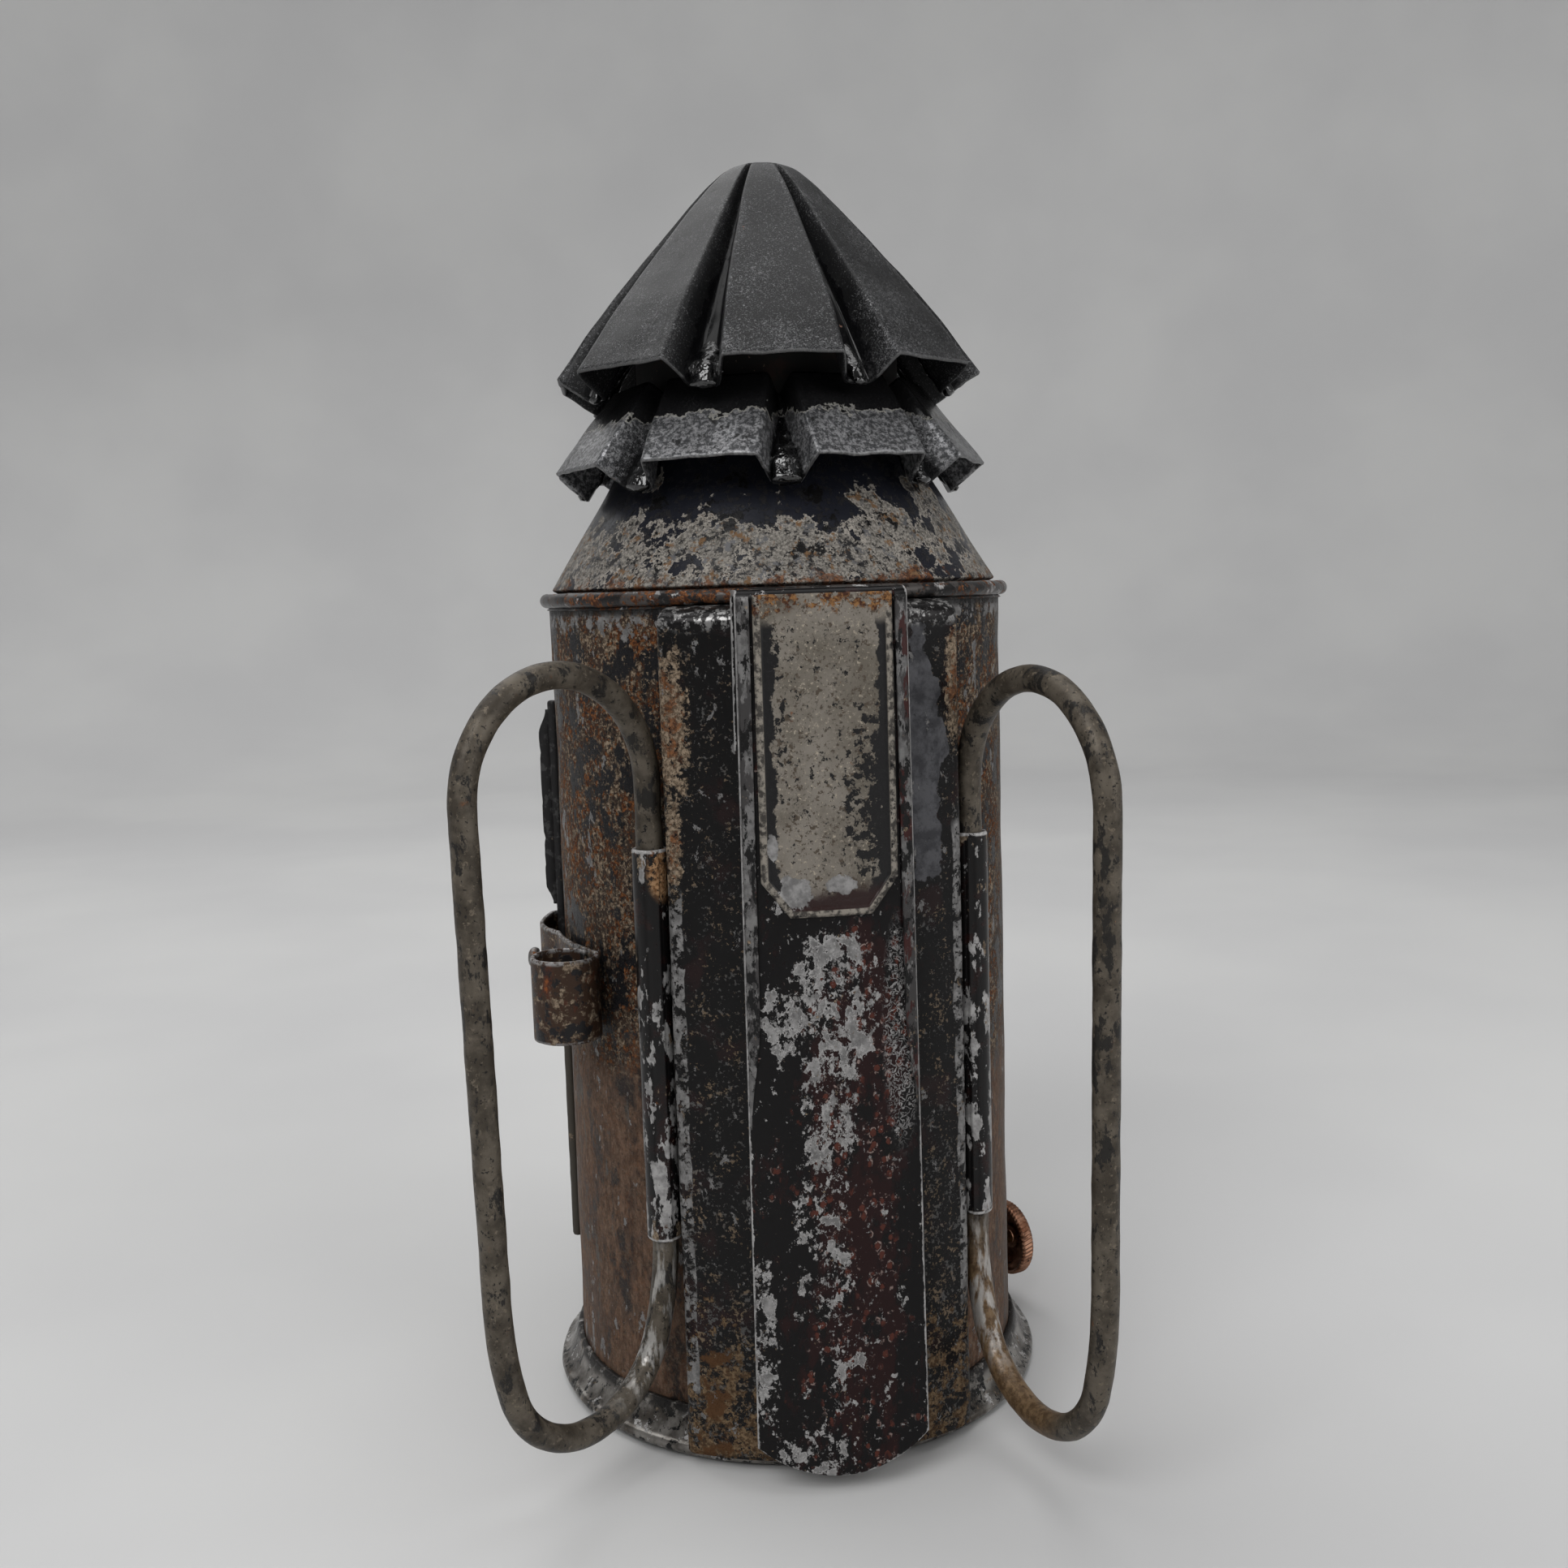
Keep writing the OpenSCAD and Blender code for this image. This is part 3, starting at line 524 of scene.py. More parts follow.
def make_cone():
    s = Surface("shoulder_worn", BLUE_BLACK, 0.3, 0.1, grain=0.01)
    s.height = s.noise(0.7, 4, 0.6, seed=1) * 0.02
    cover = s.noise(6.5, 10, 0.7, seed=3)
    down = ((150.0 - s.z) * 0.03).max(-0.1)
    top_patch = most(s.inside(s.angle, -4, 9, s.z, 154.0, 2.8),
                     s.inside(s.angle, 52, 9, s.z, 153.0, 2.4),
                     s.inside(s.angle, -50, 11, s.z, 151.5, 4.5))
    field = cover + down.min(0.15) + top_patch * 0.17
    worn = field.step(0.603, 0.611)
    grit = s.noise(0.42, 4, 0.72, seed=5)
    tint = s.mix(grit.step(0.36, 0.64), (0.08, 0.073, 0.064), (0.285, 0.265, 0.236))
    s.layer(worn, tint, 0.72, 0.1, -0.05)
    s.layer(worn * s.fleck(1.9, 8, 0.7, 8, 0.56, 0.58), TIN_DARK, 0.45, 0.3, 0.0)
    s.layer(s.fleck(1.4, 8, 0.74, 11, 0.545, 0.56), (0.02, 0.019, 0.02), 0.3, 0.0, 0.05)
    s.layer(s.fleck(3.8, 9, 0.7, 31, 0.575, 0.585), BLACK, 0.28, 0.0, 0.05)
    s.layer(worn * s.fleck(2.2, 8, 0.7, 14, 0.56, 0.62), (0.165, 0.095, 0.048), 0.8)
    s.layer(s.band(field, 0.607, 0.63, 0.006), (0.36, 0.33, 0.29), 0.6, 0.1)
    rim_rust = ((138.6 - s.z) * 0.06 + s.noise(2.6, 7, 0.68, seed=9)).step(0.62, 0.7)
    rust(s, rim_rust * 0.8)
    return s.done()


def make_bead():
    s = Surface("wired_rim", (0.075, 0.068, 0.064), 0.4, 0.45, grain=0.015)
    big = s.noise(6, 6, 0.6, seed=2)
    s.layer(big.step(0.46, 0.5), (0.016, 0.015, 0.015), 0.28, 0.2, 0.02)
    bare_tin(s, s.fleck(3.2, 7, 0.65, 4, 0.58, 0.62), -0.02, 1.1)
    left = s.band(s.angle, 12, 62, 6)
    right = s.band(s.angle, -75, -35, 8) * 0.6
    rust(s, ((left + right) * 0.085 + s.noise(1.8, 8, 0.72, seed=6)).step(0.585, 0.62), 0.02)
    s.layer(s.fleck(1.0, 7, 0.72, 16, 0.585, 0.61), BLACK, 0.3, 0.0, 0.02)
    # painted shade: black on the bead's underside and its neck, where it meets the body
    below = ((133.2 - s.z) * 0.8 + s.noise(2, 4, 0.6, seed=8) * 0.6).step(0.55, 0.75)
    s.layer(below, BLACK, 0.5, 0.0)
    return s.done()


def speckled(s, where, level, size=0.9, seed=1.0):
    """Ragged fine chips that crowd where `where` is high."""
    cluster = s.noise(size * 6, 5, 0.6, seed=seed + 40)
    fine = s.noise(size, 6, 0.68, seed=seed + 41)
    return (fine + (cluster - 0.5) * 0.45 + where).step(level, level + 0.025)


def make_body():
    s = Surface("body_rusted", (0.04, 0.026, 0.019), 0.62, 0.0, grain=0.014)
    a, z = s.angle, s.z
    s.height = s.noise(1.1, 5, 0.6, seed=2) * 0.03
    streak = s.noise(1.1, 8, 0.72, stretch=0.42, seed=4)
    low = (62 - z + (s.noise(12, 6, 0.6, seed=5) - 0.5) * 40).step(-5, 7)
    brown = s.mix(streak.step(0.36, 0.66), (0.07, 0.039, 0.025), (0.16, 0.098, 0.066))
    s.layer(low, brown, 0.6, 0.0, 0.0)
    s.layer(low * s.fleck(6, 8, 0.66, 7, 0.53, 0.6, stretch=0.5), (0.03, 0.022, 0.019), 0.42, 0.1)
    s.layer(low * s.fleck(4, 8, 0.66, 17, 0.6, 0.64, stretch=0.4), (0.085, 0.078, 0.07), 0.5, 0.2)
    # upper part: mottled tan, rust and dark paint
    up = 1 - low * 0.8
    tan_crust(s, up * speckled(s, 0.0, 0.515, 0.8, 3), 0.03)
    rust(s, up * speckled(s, 0.0, 0.525, 1.0, 6), 0.035)
    dark = s.noise(5.5, 8, 0.68, stretch=0.7, seed=9)
    s.layer(dark.step(0.53, 0.55) * (1 - low * 0.7), (0.013, 0.0125, 0.014), 0.32, 0.0, 0.04)
    tan_crust(s, up * speckled(s, 0.0, 0.585, 0.6, 13), 0.02)
    s.layer(s.fleck(0.9, 8, 0.74, 19, 0.56, 0.585) * (0.35 + 0.65 * up), BLACK, 0.4, 0.0, 0.02)
    # bare grey band under the wired rim, and grey patches
    band = ((z - 129.0) * 0.055).min(0.08) + s.noise(3.0, 9, 0.72, seed=12)
    bare_tin(s, band.step(0.57, 0.585) * z.step(114, 118), -0.02, 0.62)
    chips(s, s.noise(4, 9, 0.7, stretch=0.6, seed=13), 0.615, 0.45, -0.03)
    # painted sheen and shade: the sides furthest round are painted darker and greyer
    far_side_sheen = (-58 - a).step(0, 14) + (a.abs() - 85).step(0, 20)
    s.layer(far_side_sheen.min(1) * 0.5, (0.06, 0.052, 0.045), 0.45, 0.2)
    # painted shade: a dark band along the top of the wall, just under the wired rim
    s.layer((z - 131.4).step(0.0, 0.9) * 0.8, (0.012, 0.012, 0.012), 0.45, 0.0)
    return s.done(**{"Specular IOR Level": 0.12})


def make_shield():
    s = Surface("shield_japanned", BLACK, 0.3, 0.0, grain=0.01)
    a, z = s.angle, s.z
    s.height = s.noise(0.8, 5, 0.62, seed=2) * 0.035
    s.layer(s.fleck(7, 5, 0.6, 3, 0.52, 0.66), (0.016, 0.008, 0.008), 0.24, 0.0, 0.02)
    left = a.step(-2, 2)
    right = 1 - left
    # scattered fine chips, grey and tan
    fleck = speckled(s, (70 - z) * 0.0006, 0.58, 0.6, 5)
    s.layer(fleck, s.mottle(3, 4, 0.6, 6, 0.45, 0.6, (0.088, 0.086, 0.084), (0.165, 0.122, 0.082)),
            0.6, 0.1, -0.04)
    # smooth satin grey patch, upper right
    patch = s.patch(a, -21, 7.5, z, 112, 18).max(s.patch(a, -22, 6, z, 98, 12) - 0.1)
    satin = (patch * 0.6 + s.noise(6, 7, 0.6, seed=8) - 0.5).step(0.1, 0.13)
    s.layer(satin * right, s.mottle(3.0, 8, 0.68, 9, 0.4, 0.6, (0.048, 0.048, 0.053),
                                    (0.1, 0.1, 0.108)), 0.34, 0.3, -0.03)
    # tan and rust on the upper outer edge
    crust = s.patch(a, 29.5, 5.5, z, 116, 17).max(s.patch(a, -30.5, 4.0, z, 120, 13))
    crust = crust.max(s.patch(a, 30, 3.2, z, 98, 12) - 0.05)
    tan_crust(s, (crust * 0.42 + s.noise(1.3, 9, 0.74, seed=11)).step(0.645, 0.665), 0.02)
    rust(s, (crust * 0.3 + s.noise(1.8, 8, 0.72, seed=12)).step(0.7, 0.75) * 0.8, 0.02)
    s.layer(s.fleck(0.9, 8, 0.74, 27, 0.58, 0.6) * crust.step(-0.2, 0.1), BLACK, 0.3, 0.0, 0.03)
    # brown crust near the foot
    foot = (26 - z) * 0.01
    field = foot.min(0.1).max(-0.3) + left * 0.02 + s.noise(2.3, 9, 0.72, seed=14)
    field = field.step(0.605, 0.63)
    s.layer(field, s.mottle(0.6, 5, 0.72, 24, 0.4, 0.62, (0.06, 0.034, 0.018), (0.19, 0.13, 0.075)),
            0.8, 0.0, 0.02)
    s.layer((s.patch(a, 26, 8, z, 10, 16) * 0.25 + s.noise(4, 8, 0.68, seed=26)).step(0.64, 0.7),
            (0.085, 0.04, 0.016), 0.6)
    # large grey chips
    chips(s, s.noise(3.2, 9, 0.72, distort=0.3, stretch=0.7, seed=15), 0.62, 0.46)
    # worn corner strips
    wave = (s.noise(5, 5, 0.6, stretch=0.5, seed=16) - 0.5) * 3.0
    l_strip = s.band(a + wave * 0.8, 28.6, 31.9, 0.12) * s.band(z + wave * 9, 12, 92, 2.0)
    r_strip = s.band(a - wave, -31.9, -28.9, 0.15) * s.band(z + wave * 9, 22, 99, 3.0)
    gap = s.fleck(2.8, 6, 0.62, 17, 0.43, 0.46)
    tin_strip = (l_strip + r_strip).min(1) * gap * (1 - s.fleck(1.3, 8, 0.72, 28, 0.55, 0.58))
    bare_tin(s, tin_strip, -0.05, 0.62)
    # glossy rounded top edge
    top = (z - 128.8 + (s.noise(3, 5, 0.6, seed=18) - 0.5) * 3).step(0, 1.4)
    s.layer(top, s.mottle(1.2, 6, 0.66, 19, 0.5, 0.6, (0.018, 0.017, 0.017), (0.3, 0.295, 0.29)),
            0.24, 0.5, 0.0)
    return s.done(**{"Specular IOR Level": 0.17})


def make_strap():
    s = Surface("strap_japanned", (0.0062, 0.0056, 0.0059), 0.28, 0.0, grain=0.008)
    x, z = s.x, s.z
    s.height = s.noise(0.9, 4, 0.6, seed=2) * 0.02
    # dark red staining, densest a little towards -X
    red = s.inside(x, -3.0, 8.5, z, 52, 42).max(s.inside(x, -1.0, 9, z, 16, 16) * 0.8)
    stain = (red * 0.16 + s.noise(3.0, 6, 0.62, stretch=0.5, seed=3)).step(0.55, 0.68)
    s.layer(stain, (0.017, 0.0068, 0.0068), 0.24, 0.0, 0.0)
    cells = s.spots(1.45, 5, 0.75) + (s.noise(0.7, 4, 0.6, seed=46) - 0.5) * 0.55
    dots = (0.34 - cells).step(0.0, 0.08)
    some = (s.noise(5, 5, 0.62, stretch=0.5, seed=6) + red * 0.15).step(0.56, 0.66)
    s.layer(dots * some, (0.078, 0.023, 0.016), 0.24, 0.0, 0.1)
    # painted glints: pale rims on the red blister dots, standing in for light caught on each
    # blister
    blister_glint = s.band(cells, 0.34, 0.44, 0.04)
    s.layer(blister_glint * some * s.fleck(0.8, 4, 0.6, 16, 0.52, 0.6), (0.27, 0.2, 0.18), 0.4, 0.2)
    # grey chips, which crowd below the plate and thin out downwards
    crowd = most(s.inside(x, -0.5, 7.0, z, 77, 11), s.inside(x, 7.0, 5.0, z, 73.5, 6.0),
                 s.inside(x, 1.0, 5.0, z, 60, 12) * 0.9, s.inside(x, 2.5, 4.5, z, 40, 18) * 0.6,
                 s.inside(x, 4, 9, z, 5, 6) * 0.6, s.inside(x, 11.5, 2.2, z, 24, 16) * 0.8,
                 s.inside(x, -0.5, 3.0, z, 22, 14) * 0.5)
    chips(s, s.noise(3.0, 10, 0.72, distort=0.15, stretch=0.75, seed=7) + crowd * 0.135, 0.625, 0.8)
    fine = s.noise(1.1, 8, 0.7, stretch=0.8, seed=8)
    bare_tin(s, (fine + crowd * 0.085).step(0.63, 0.643), -0.045, 0.85)
    # flecks of tan
    tan_crust(s, (s.noise(0.8, 6, 0.7, seed=18) + crowd * 0.03).step(0.67, 0.69), 0.01)
    # wormy fine chips beside the right-hand edge
    worm = (s.noise(0.9, 3, 0.55, distort=0.8, seed=10) - 0.5).abs()
    beside = s.inside(x, -10.0, 2.8, z, 70, 17)
    bare_tin(s, beside * (1 - worm.step(0.02, 0.045)), -0.04, 0.8)
    # worn edges
    edge = s.attribute("edge")
    bare_tin(s, (edge + (s.noise(1.2, 6, 0.68, seed=12) - 0.5) * 1.3).step(0.6, 0.7), -0.02, 0.95)
    return s.done(**{"Specular IOR Level": 0.15})


def make_hem():
    s = Surface("strap_hem", (0.055, 0.052, 0.052), 0.38, 0.3, grain=0.01)
    bare_tin(s, s.fleck(3.0, 8, 0.7, 3, 0.47, 0.5, stretch=0.4), -0.02, 0.46)
    s.layer(((s.x * -0.007) + s.noise(3.4, 7, 0.66, stretch=0.4, seed=5)).step(0.6, 0.63),
            (0.04, 0.011, 0.01), 0.32, 0.0, 0.02)
    s.layer(s.fleck(1.6, 8, 0.72, 7, 0.525, 0.545, stretch=0.5), BLACK, 0.3, 0.0, 0.03)
    tan_crust(s, s.fleck(1.7, 7, 0.66, 8, 0.64, 0.67), 0.01)
    return s.done()


def make_plate():
    s = Surface("plate_worn", (0.125, 0.113, 0.096), 0.62, 0.15, grain=0.022, grain_size=0.35)
    x, z = s.x, s.z
    tone = s.noise(9, 5, 0.6, seed=2)
    s.colour = s.mix(tone.step(0.35, 0.65), (0.131, 0.115, 0.093), (0.216, 0.194, 0.166))
    grit = s.noise(0.55, 4, 0.7, seed=3)
    s.layer(grit.step(0.58, 0.66), (0.36, 0.315, 0.25), 0.7, 0.0, 0.02)
    s.layer((1 - grit).step(0.58, 0.66), (0.062, 0.049, 0.037), 0.7, 0.0, -0.02)
    s.layer(s.fleck(1.3, 7, 0.72, 25, 0.575, 0.6), (0.075, 0.058, 0.043), 0.7, 0.0, -0.01)
    s.layer(s.fleck(1.5, 6, 0.68, 5, 0.655, 0.67), (0.018, 0.016, 0.015), 0.4, 0.0, 0.03)
    rust(s, s.fleck(2.6, 7, 0.68, 6, 0.665, 0.72) * 0.8, 0.02)
    # ragged black border inside the raised rim
    inset = s.attribute("inset")
    ragged = (s.noise(3.2, 8, 0.66, seed=8) - 0.5) * 4.6
    bite = s.patch(x, -7.0, 5.5, z, 105, 11).max(s.patch(x, 7.5, 2.4, z, 127, 5)).max(0.0)
    border = 2.5 + ragged + bite * 1.9 * s.fleck(1.4, 6, 0.66, 9, 0.4, 0.52)
    black = (border - inset).step(-0.12, 0.12) * inset.step(0.95, 1.15)
    spread = s.inside(x, -6.0, 4.5, z, 106, 13).max(s.inside(x, 8.0, 2.5, z, 118, 12) * 0.6)
    black = black.max((s.noise(1.5, 8, 0.7, seed=28) + spread * 0.105).step(0.6, 0.612)
                      * inset.step(0.95, 1.15))
    s.layer(black * (1 - z.step(129.5, 131.5)), (0.011, 0.0105, 0.011), 0.32, 0.0, 0.04)
    # foot: smooth grey chips among dark red
    foot = 1 - (z + (s.noise(4, 5, 0.6, seed=10) - 0.5) * 5).step(91.0, 93.6)
    s.layer(foot, (0.026, 0.013, 0.012), 0.3, 0.0, 0.02)
    grey = most(s.patch(x, 5.2, 2.6, z, 92.2, 2.6), s.patch(x, -1.6, 2.3, z, 92.9, 1.5),
                s.patch(x, 8.1, 0.9, z, 98.5, 2.2))
    bare_tin(s, (grey + (s.noise(2.4, 7, 0.68, seed=11) - 0.5) * 1.8).step(0.05, 0.12), -0.03, 0.74)
    # raised rim, and rust along the top
    rim = 1 - inset.step(0.92, 1.08)
    s.layer(rim, s.mottle(1.1, 6, 0.66, 12, 0.42, 0.58, (0.05, 0.045, 0.04), (0.27, 0.245, 0.21)),
            0.5, 0.2)
    s.layer(rim * s.fleck(2.2, 7, 0.66, 13, 0.6, 0.63), BLACK, 0.3, 0.0, 0.02)
    top = (z - 132.0 + (s.noise(2.6, 8, 0.7, seed=14) - 0.5) * 9).step(0.0, 0.8)
    tint = s.mottle(0.8, 5, 0.72, 15, 0.42, 0.6, (0.05, 0.018, 0.01), (0.27, 0.135, 0.05))
    s.layer(top * s.fleck(1.6, 7, 0.7, 16, 0.46, 0.5), tint, 0.8, 0.0, 0.03)
    return s.done()


def make_handle(name, seed, dark_low, tan_leg=0.0):
    s = Surface(name, (0.095, 0.082, 0.066), 0.46, 0.25, grain=0.02, grain_size=0.45)
    mottle = s.noise(4, 6, 0.62, seed=seed)
    s.colour = s.mix(mottle.step(0.35, 0.65), (0.05, 0.041, 0.031), (0.118, 0.1, 0.078))
    s.height = s.noise(1.8, 4, 0.6, seed=seed + 1) * 0.06
    s.layer(s.fleck(1.0, 7, 0.72, seed + 2, 0.57, 0.63), (0.155, 0.128, 0.096), 0.5, 0.2, 0.01)
    s.layer(s.fleck(3.4, 9, 0.72, seed + 3, 0.545, 0.58, stretch=0.5), (0.02, 0.018, 0.016), 0.36,
            0.1, 0.02)
    s.layer(s.fleck(0.8, 5, 0.7, seed + 4, 0.6, 0.63), (0.012, 0.011, 0.01), 0.5, 0.0, -0.05)
    rust(s, s.fleck(3.4, 6, 0.66, seed + 5, 0.64, 0.74) * 0.55, 0.01)
    # darker foot and a silvery streak on the inner leg above it
    foot = (dark_low - s.z + (s.noise(5, 6, 0.62, seed=seed + 6) - 0.5) * 12).step(0, 2.5)
    s.layer(foot * 0.85, (0.026, 0.027, 0.03), 0.34, 0.4)
    shine = s.noise(1.6, 5, 0.6, stretch=0.2, seed=seed + 7)
    inner = 1 - (s.x * s.x + s.y * s.y).power(0.5).step(50, 57)
    silver_streak = s.band(s.z, 15, 34, 4) * shine.step(0.46, 0.6) * inner
    if tan_leg:
        leg = (58 - s.y).step(0, 6) * (38 - s.z).step(0, 12) * tan_leg
        s.layer(leg, s.mottle(1.2, 7, 0.7, seed + 8, 0.4, 0.6, (0.085, 0.048, 0.022),
                              (0.19, 0.12, 0.062)), 0.45, 0.2)
    s.layer(silver_streak * 0.8, (0.48, 0.465, 0.445), 0.28, 0.6)
    return s.done()


def make_sleeve():
    s = Surface("sleeve_japanned", (0.007, 0.0064, 0.0066), 0.28, 0.0, grain=0.01)
    x, y, z = s.x, s.y, s.z
    s.height = s.noise(0.8, 4, 0.6, seed=2) * 0.02
    s.layer(s.fleck(4, 5, 0.6, 3, 0.5, 0.68), (0.02, 0.008, 0.007), 0.26, 0.0)
    chips = s.noise(2.8, 8, 0.66, stretch=0.45, seed=5)
    lower = (84 - z).step(0, 8) * 0.07
    bare_tin(s, (chips + lower * 1.3).step(0.615, 0.63), -0.05, 1.05)
    bare_tin(s, s.fleck(1.1, 6, 0.66, 6, 0.675, 0.69), -0.04, 0.9)
    # tan crust on the side away from the shield, and at the ends
    side = (s.angle.abs() - 38.4).step(0.0, 2.6)
    ends = (z - 93.5).step(0, 2.5).max((41 - z).step(0, 4))
    tan_crust(s, ((side * 0.16 + ends * 0.1) + s.noise(2.4, 8, 0.66, stretch=0.5,
        seed=8)).step(0.63, 0.66), 0.02)
    rust(s, (ends * 0.12 + side * 0.05 + s.noise(2.0, 7, 0.66, seed=9)).step(0.69, 0.76), 0.02)
    top = s.inside(x, 23.0, 2.6, z, 93.5, 4.5)
    s.layer(top * s.fleck(1.2, 7, 0.7, 15, 0.42, 0.48),
            s.mottle(0.6, 4, 0.7, 16, 0.4, 0.6, (0.16, 0.075, 0.03), (0.42, 0.25, 0.13)), 0.8, 0.0,
            0.03)
    lip = (z - 96.4).step(0, 0.3).max((36.6 - z).step(0, 0.3))
    bare_tin(s, lip * s.fleck(1.2, 5, 0.6, 10, 0.4, 0.5), 0.0, 1.4)
    return s.done()


def make_flange():
    s = Surface("flange_grey", (0.115, 0.108, 0.1), 0.3, 0.75, grain=0.016)
    s.colour = s.mottle(5, 6, 0.62, 2, 0.38, 0.64, (0.085, 0.075, 0.066), (0.3, 0.285, 0.265))
    s.height = s.noise(2.4, 4, 0.6, seed=3) * 0.06
    s.layer(s.fleck(2.0, 9, 0.72, 5, 0.54, 0.565), (0.01, 0.01, 0.01), 0.28, 0.0, 0.04)
    chips(s, s.noise(2.4, 9, 0.72, seed=15), 0.585, 1.1, -0.03)
    tan_crust(s, s.fleck(2.6, 8, 0.7, 6, 0.6, 0.64) * 0.8, 0.01)
    s.layer((s.z - 4.6).step(0, 1.6) * s.fleck(2.2, 6, 0.62, 7, 0.38, 0.5), (0.014, 0.012, 0.011),
            0.45, 0.0)
    return s.done()


def make_roll():
    s = Surface("catch_rusted", (0.05, 0.028, 0.018), 0.45, 0.25, grain=0.03, grain_size=0.4)
    s.height = s.noise(1.4, 5, 0.62, seed=2) * 0.08
    tan_crust(s, s.fleck(1.5, 7, 0.68, 3, 0.53, 0.58), 0.02)
    s.layer(s.fleck(2.4, 7, 0.66, 4, 0.52, 0.57), (0.016, 0.015, 0.016), 0.33, 0.2, 0.03)
    red = s.noise(2.4, 6, 0.66, stretch=0.5, seed=6)
    s.layer(red.step(0.58, 0.66), (0.07, 0.022, 0.01), 0.5, 0.0, 0.02)
    s.layer(red.step(0.69, 0.73), (0.24, 0.07, 0.02), 0.6, 0.0, 0.02)
    edge = s.z.step(78.2, 78.7).max(1 - s.z.step(66.0, 66.4) - 0.35)
    bare_tin(s, edge * s.fleck(0.9, 6, 0.68, 8, 0.44, 0.54), 0.0, 0.8)
    return s.done()


def make_door_edge():
    s = Surface("door_edge_dark", (0.015, 0.0145, 0.015), 0.55, 0.2, grain=0.05, grain_size=0.5)
    s.height = s.noise(1.5, 6, 0.66, seed=2) * 0.1
    s.layer(s.fleck(1.8, 7, 0.68, 3, 0.54, 0.62), (0.05, 0.049, 0.049), 0.5, 0.3, 0.02)
    s.layer((1 - s.z.step(60, 68)) * 0.9, (0.062, 0.054, 0.044), 0.5, 0.3)
    tan_crust(s, s.fleck(2.2, 7, 0.66, 4, 0.62, 0.68) * 0.7, 0.02)
    return s.done()


def make_knob():
    s = Surface("knob_copper", (0.25, 0.125, 0.075), 0.38, 0.9, grain=0.012)
    s.colour = s.mottle(2.2, 6, 0.64, 2, 0.36, 0.62, (0.145, 0.062, 0.034), (0.34, 0.185, 0.12))
    s.layer(s.fleck(1.6, 7, 0.66, 3, 0.56, 0.66), (0.04, 0.018, 0.01), 0.6, 0.3, 0.01)
    return s.done()


def make_brass(name="brass_aged", seed=1.0, dull=0.0):
    s = Surface(name, (0.36, 0.235, 0.095), 0.36, 0.95, grain=0.01)
    s.colour = s.mottle(6, 5, 0.6, seed, 0.36, 0.66, (0.215, 0.135, 0.055), (0.46, 0.315, 0.135))
    s.layer(s.fleck(2.6, 7, 0.66, seed + 1, 0.56 - dull, 0.7 - dull), (0.065, 0.044, 0.024), 0.62,
            0.4, 0.01)
    s.layer(s.fleck(1.0, 4, 0.6, seed + 2, 0.66, 0.72), (0.045, 0.06, 0.045), 0.75, 0.0, 0.01)
    return s.done()


def make_japan(name, seed, wear=0.0, colour=BLACK, rough=0.3):
    """Black japanned tinplate with chips, for the parts that the light seldom reaches."""
    s = Surface(name, colour, rough, 0.0, grain=0.01)
    s.height = s.noise(0.9, 4, 0.6, seed=seed) * 0.022
    s.layer(s.fleck(6, 5, 0.6, seed + 1, 0.5, 0.68), (0.02, 0.01, 0.008), rough + 0.06, 0.0)
    tan_crust(s, speckled(s, wear, 0.62, 0.9, seed + 2), 0.02)
    bare = (s.noise(4.2, 8, 0.66, distort=0.3, seed=seed + 3) + wear).step(0.645, 0.66)
    bare_tin(s, bare, -0.05, 0.8)
    rust(s, (s.noise(3.2, 7, 0.66, seed=seed + 4) + wear).step(0.67, 0.73), 0.02)
    return s.done()


def make_tinplate(name, seed):
    """Dull tinned steel of the inside, with soot and rust bloom."""
    s = Surface(name, (0.16, 0.155, 0.148), 0.42, 0.7, grain=0.012)
    s.colour = s.mottle(7, 6, 0.62, seed, 0.36, 0.64, (0.095, 0.088, 0.08), (0.2, 0.195, 0.186))
    s.layer(s.fleck(9, 5, 0.6, seed + 1, 0.5, 0.7) * 0.8, (0.02, 0.018, 0.016), 0.7, 0.1)
    rust(s, s.fleck(2.4, 8, 0.68, seed + 2, 0.6, 0.66), 0.02)
    return s.done()


def make_steel():
    s = Surface("pin_steel", (0.2, 0.195, 0.188), 0.34, 0.9, grain=0.01)
    rust(s, s.fleck(2.0, 7, 0.66, 3, 0.56, 0.66), 0.01)
    s.layer(s.fleck(3.5, 6, 0.62, 5, 0.56, 0.64), (0.03, 0.026, 0.023), 0.5, 0.3)
    return s.done()


def make_silver():
    s = Surface("reflector_silvered", (0.62, 0.61, 0.58), 0.16, 1.0, grain=0.004)
    s.layer(s.fleck(8, 6, 0.6, 2, 0.5, 0.72), (0.34, 0.29, 0.21), 0.3, 0.9)
    s.layer(s.fleck(2.5, 7, 0.66, 3, 0.64, 0.7), (0.055, 0.045, 0.035), 0.55, 0.4, 0.01)
    return s.done()


def make_glass():
    s = Surface("lens_glass", (0.86, 0.93, 0.9), 0.03, 0.0, grain=0.0)
    s.height = s.noise(9, 2, 0.4, seed=1) * 0.06
    s.layer(s.fleck(7, 6, 0.6, 2, 0.62, 0.8) * 0.5, (0.7, 0.72, 0.66), 0.3)
    return s.done(**{"Transmission Weight": 1.0, "IOR": 1.5, "Specular IOR Level": 0.5})


def make_cotton():
    s = Surface("wick_woven", (0.62, 0.57, 0.47), 0.95, 0.0, grain=0.03, grain_size=0.2)
    weave = s.math("SINE", (s.x * 0.94 + s.y * 0.34) * 9.0) * s.math("SINE", s.z * 6.0)
    s.height = weave * 0.1
    s.layer(weave.step(0.0, 0.9), (0.74, 0.69, 0.58), 0.95)
    s.layer((s.z - 43.2 + s.noise(2, 4, 0.6, seed=2) * 2).step(0, 1.6), (0.012, 0.01, 0.009), 0.98)
    return s.done()


# Chimney ---------------------------------------------------------------------------------


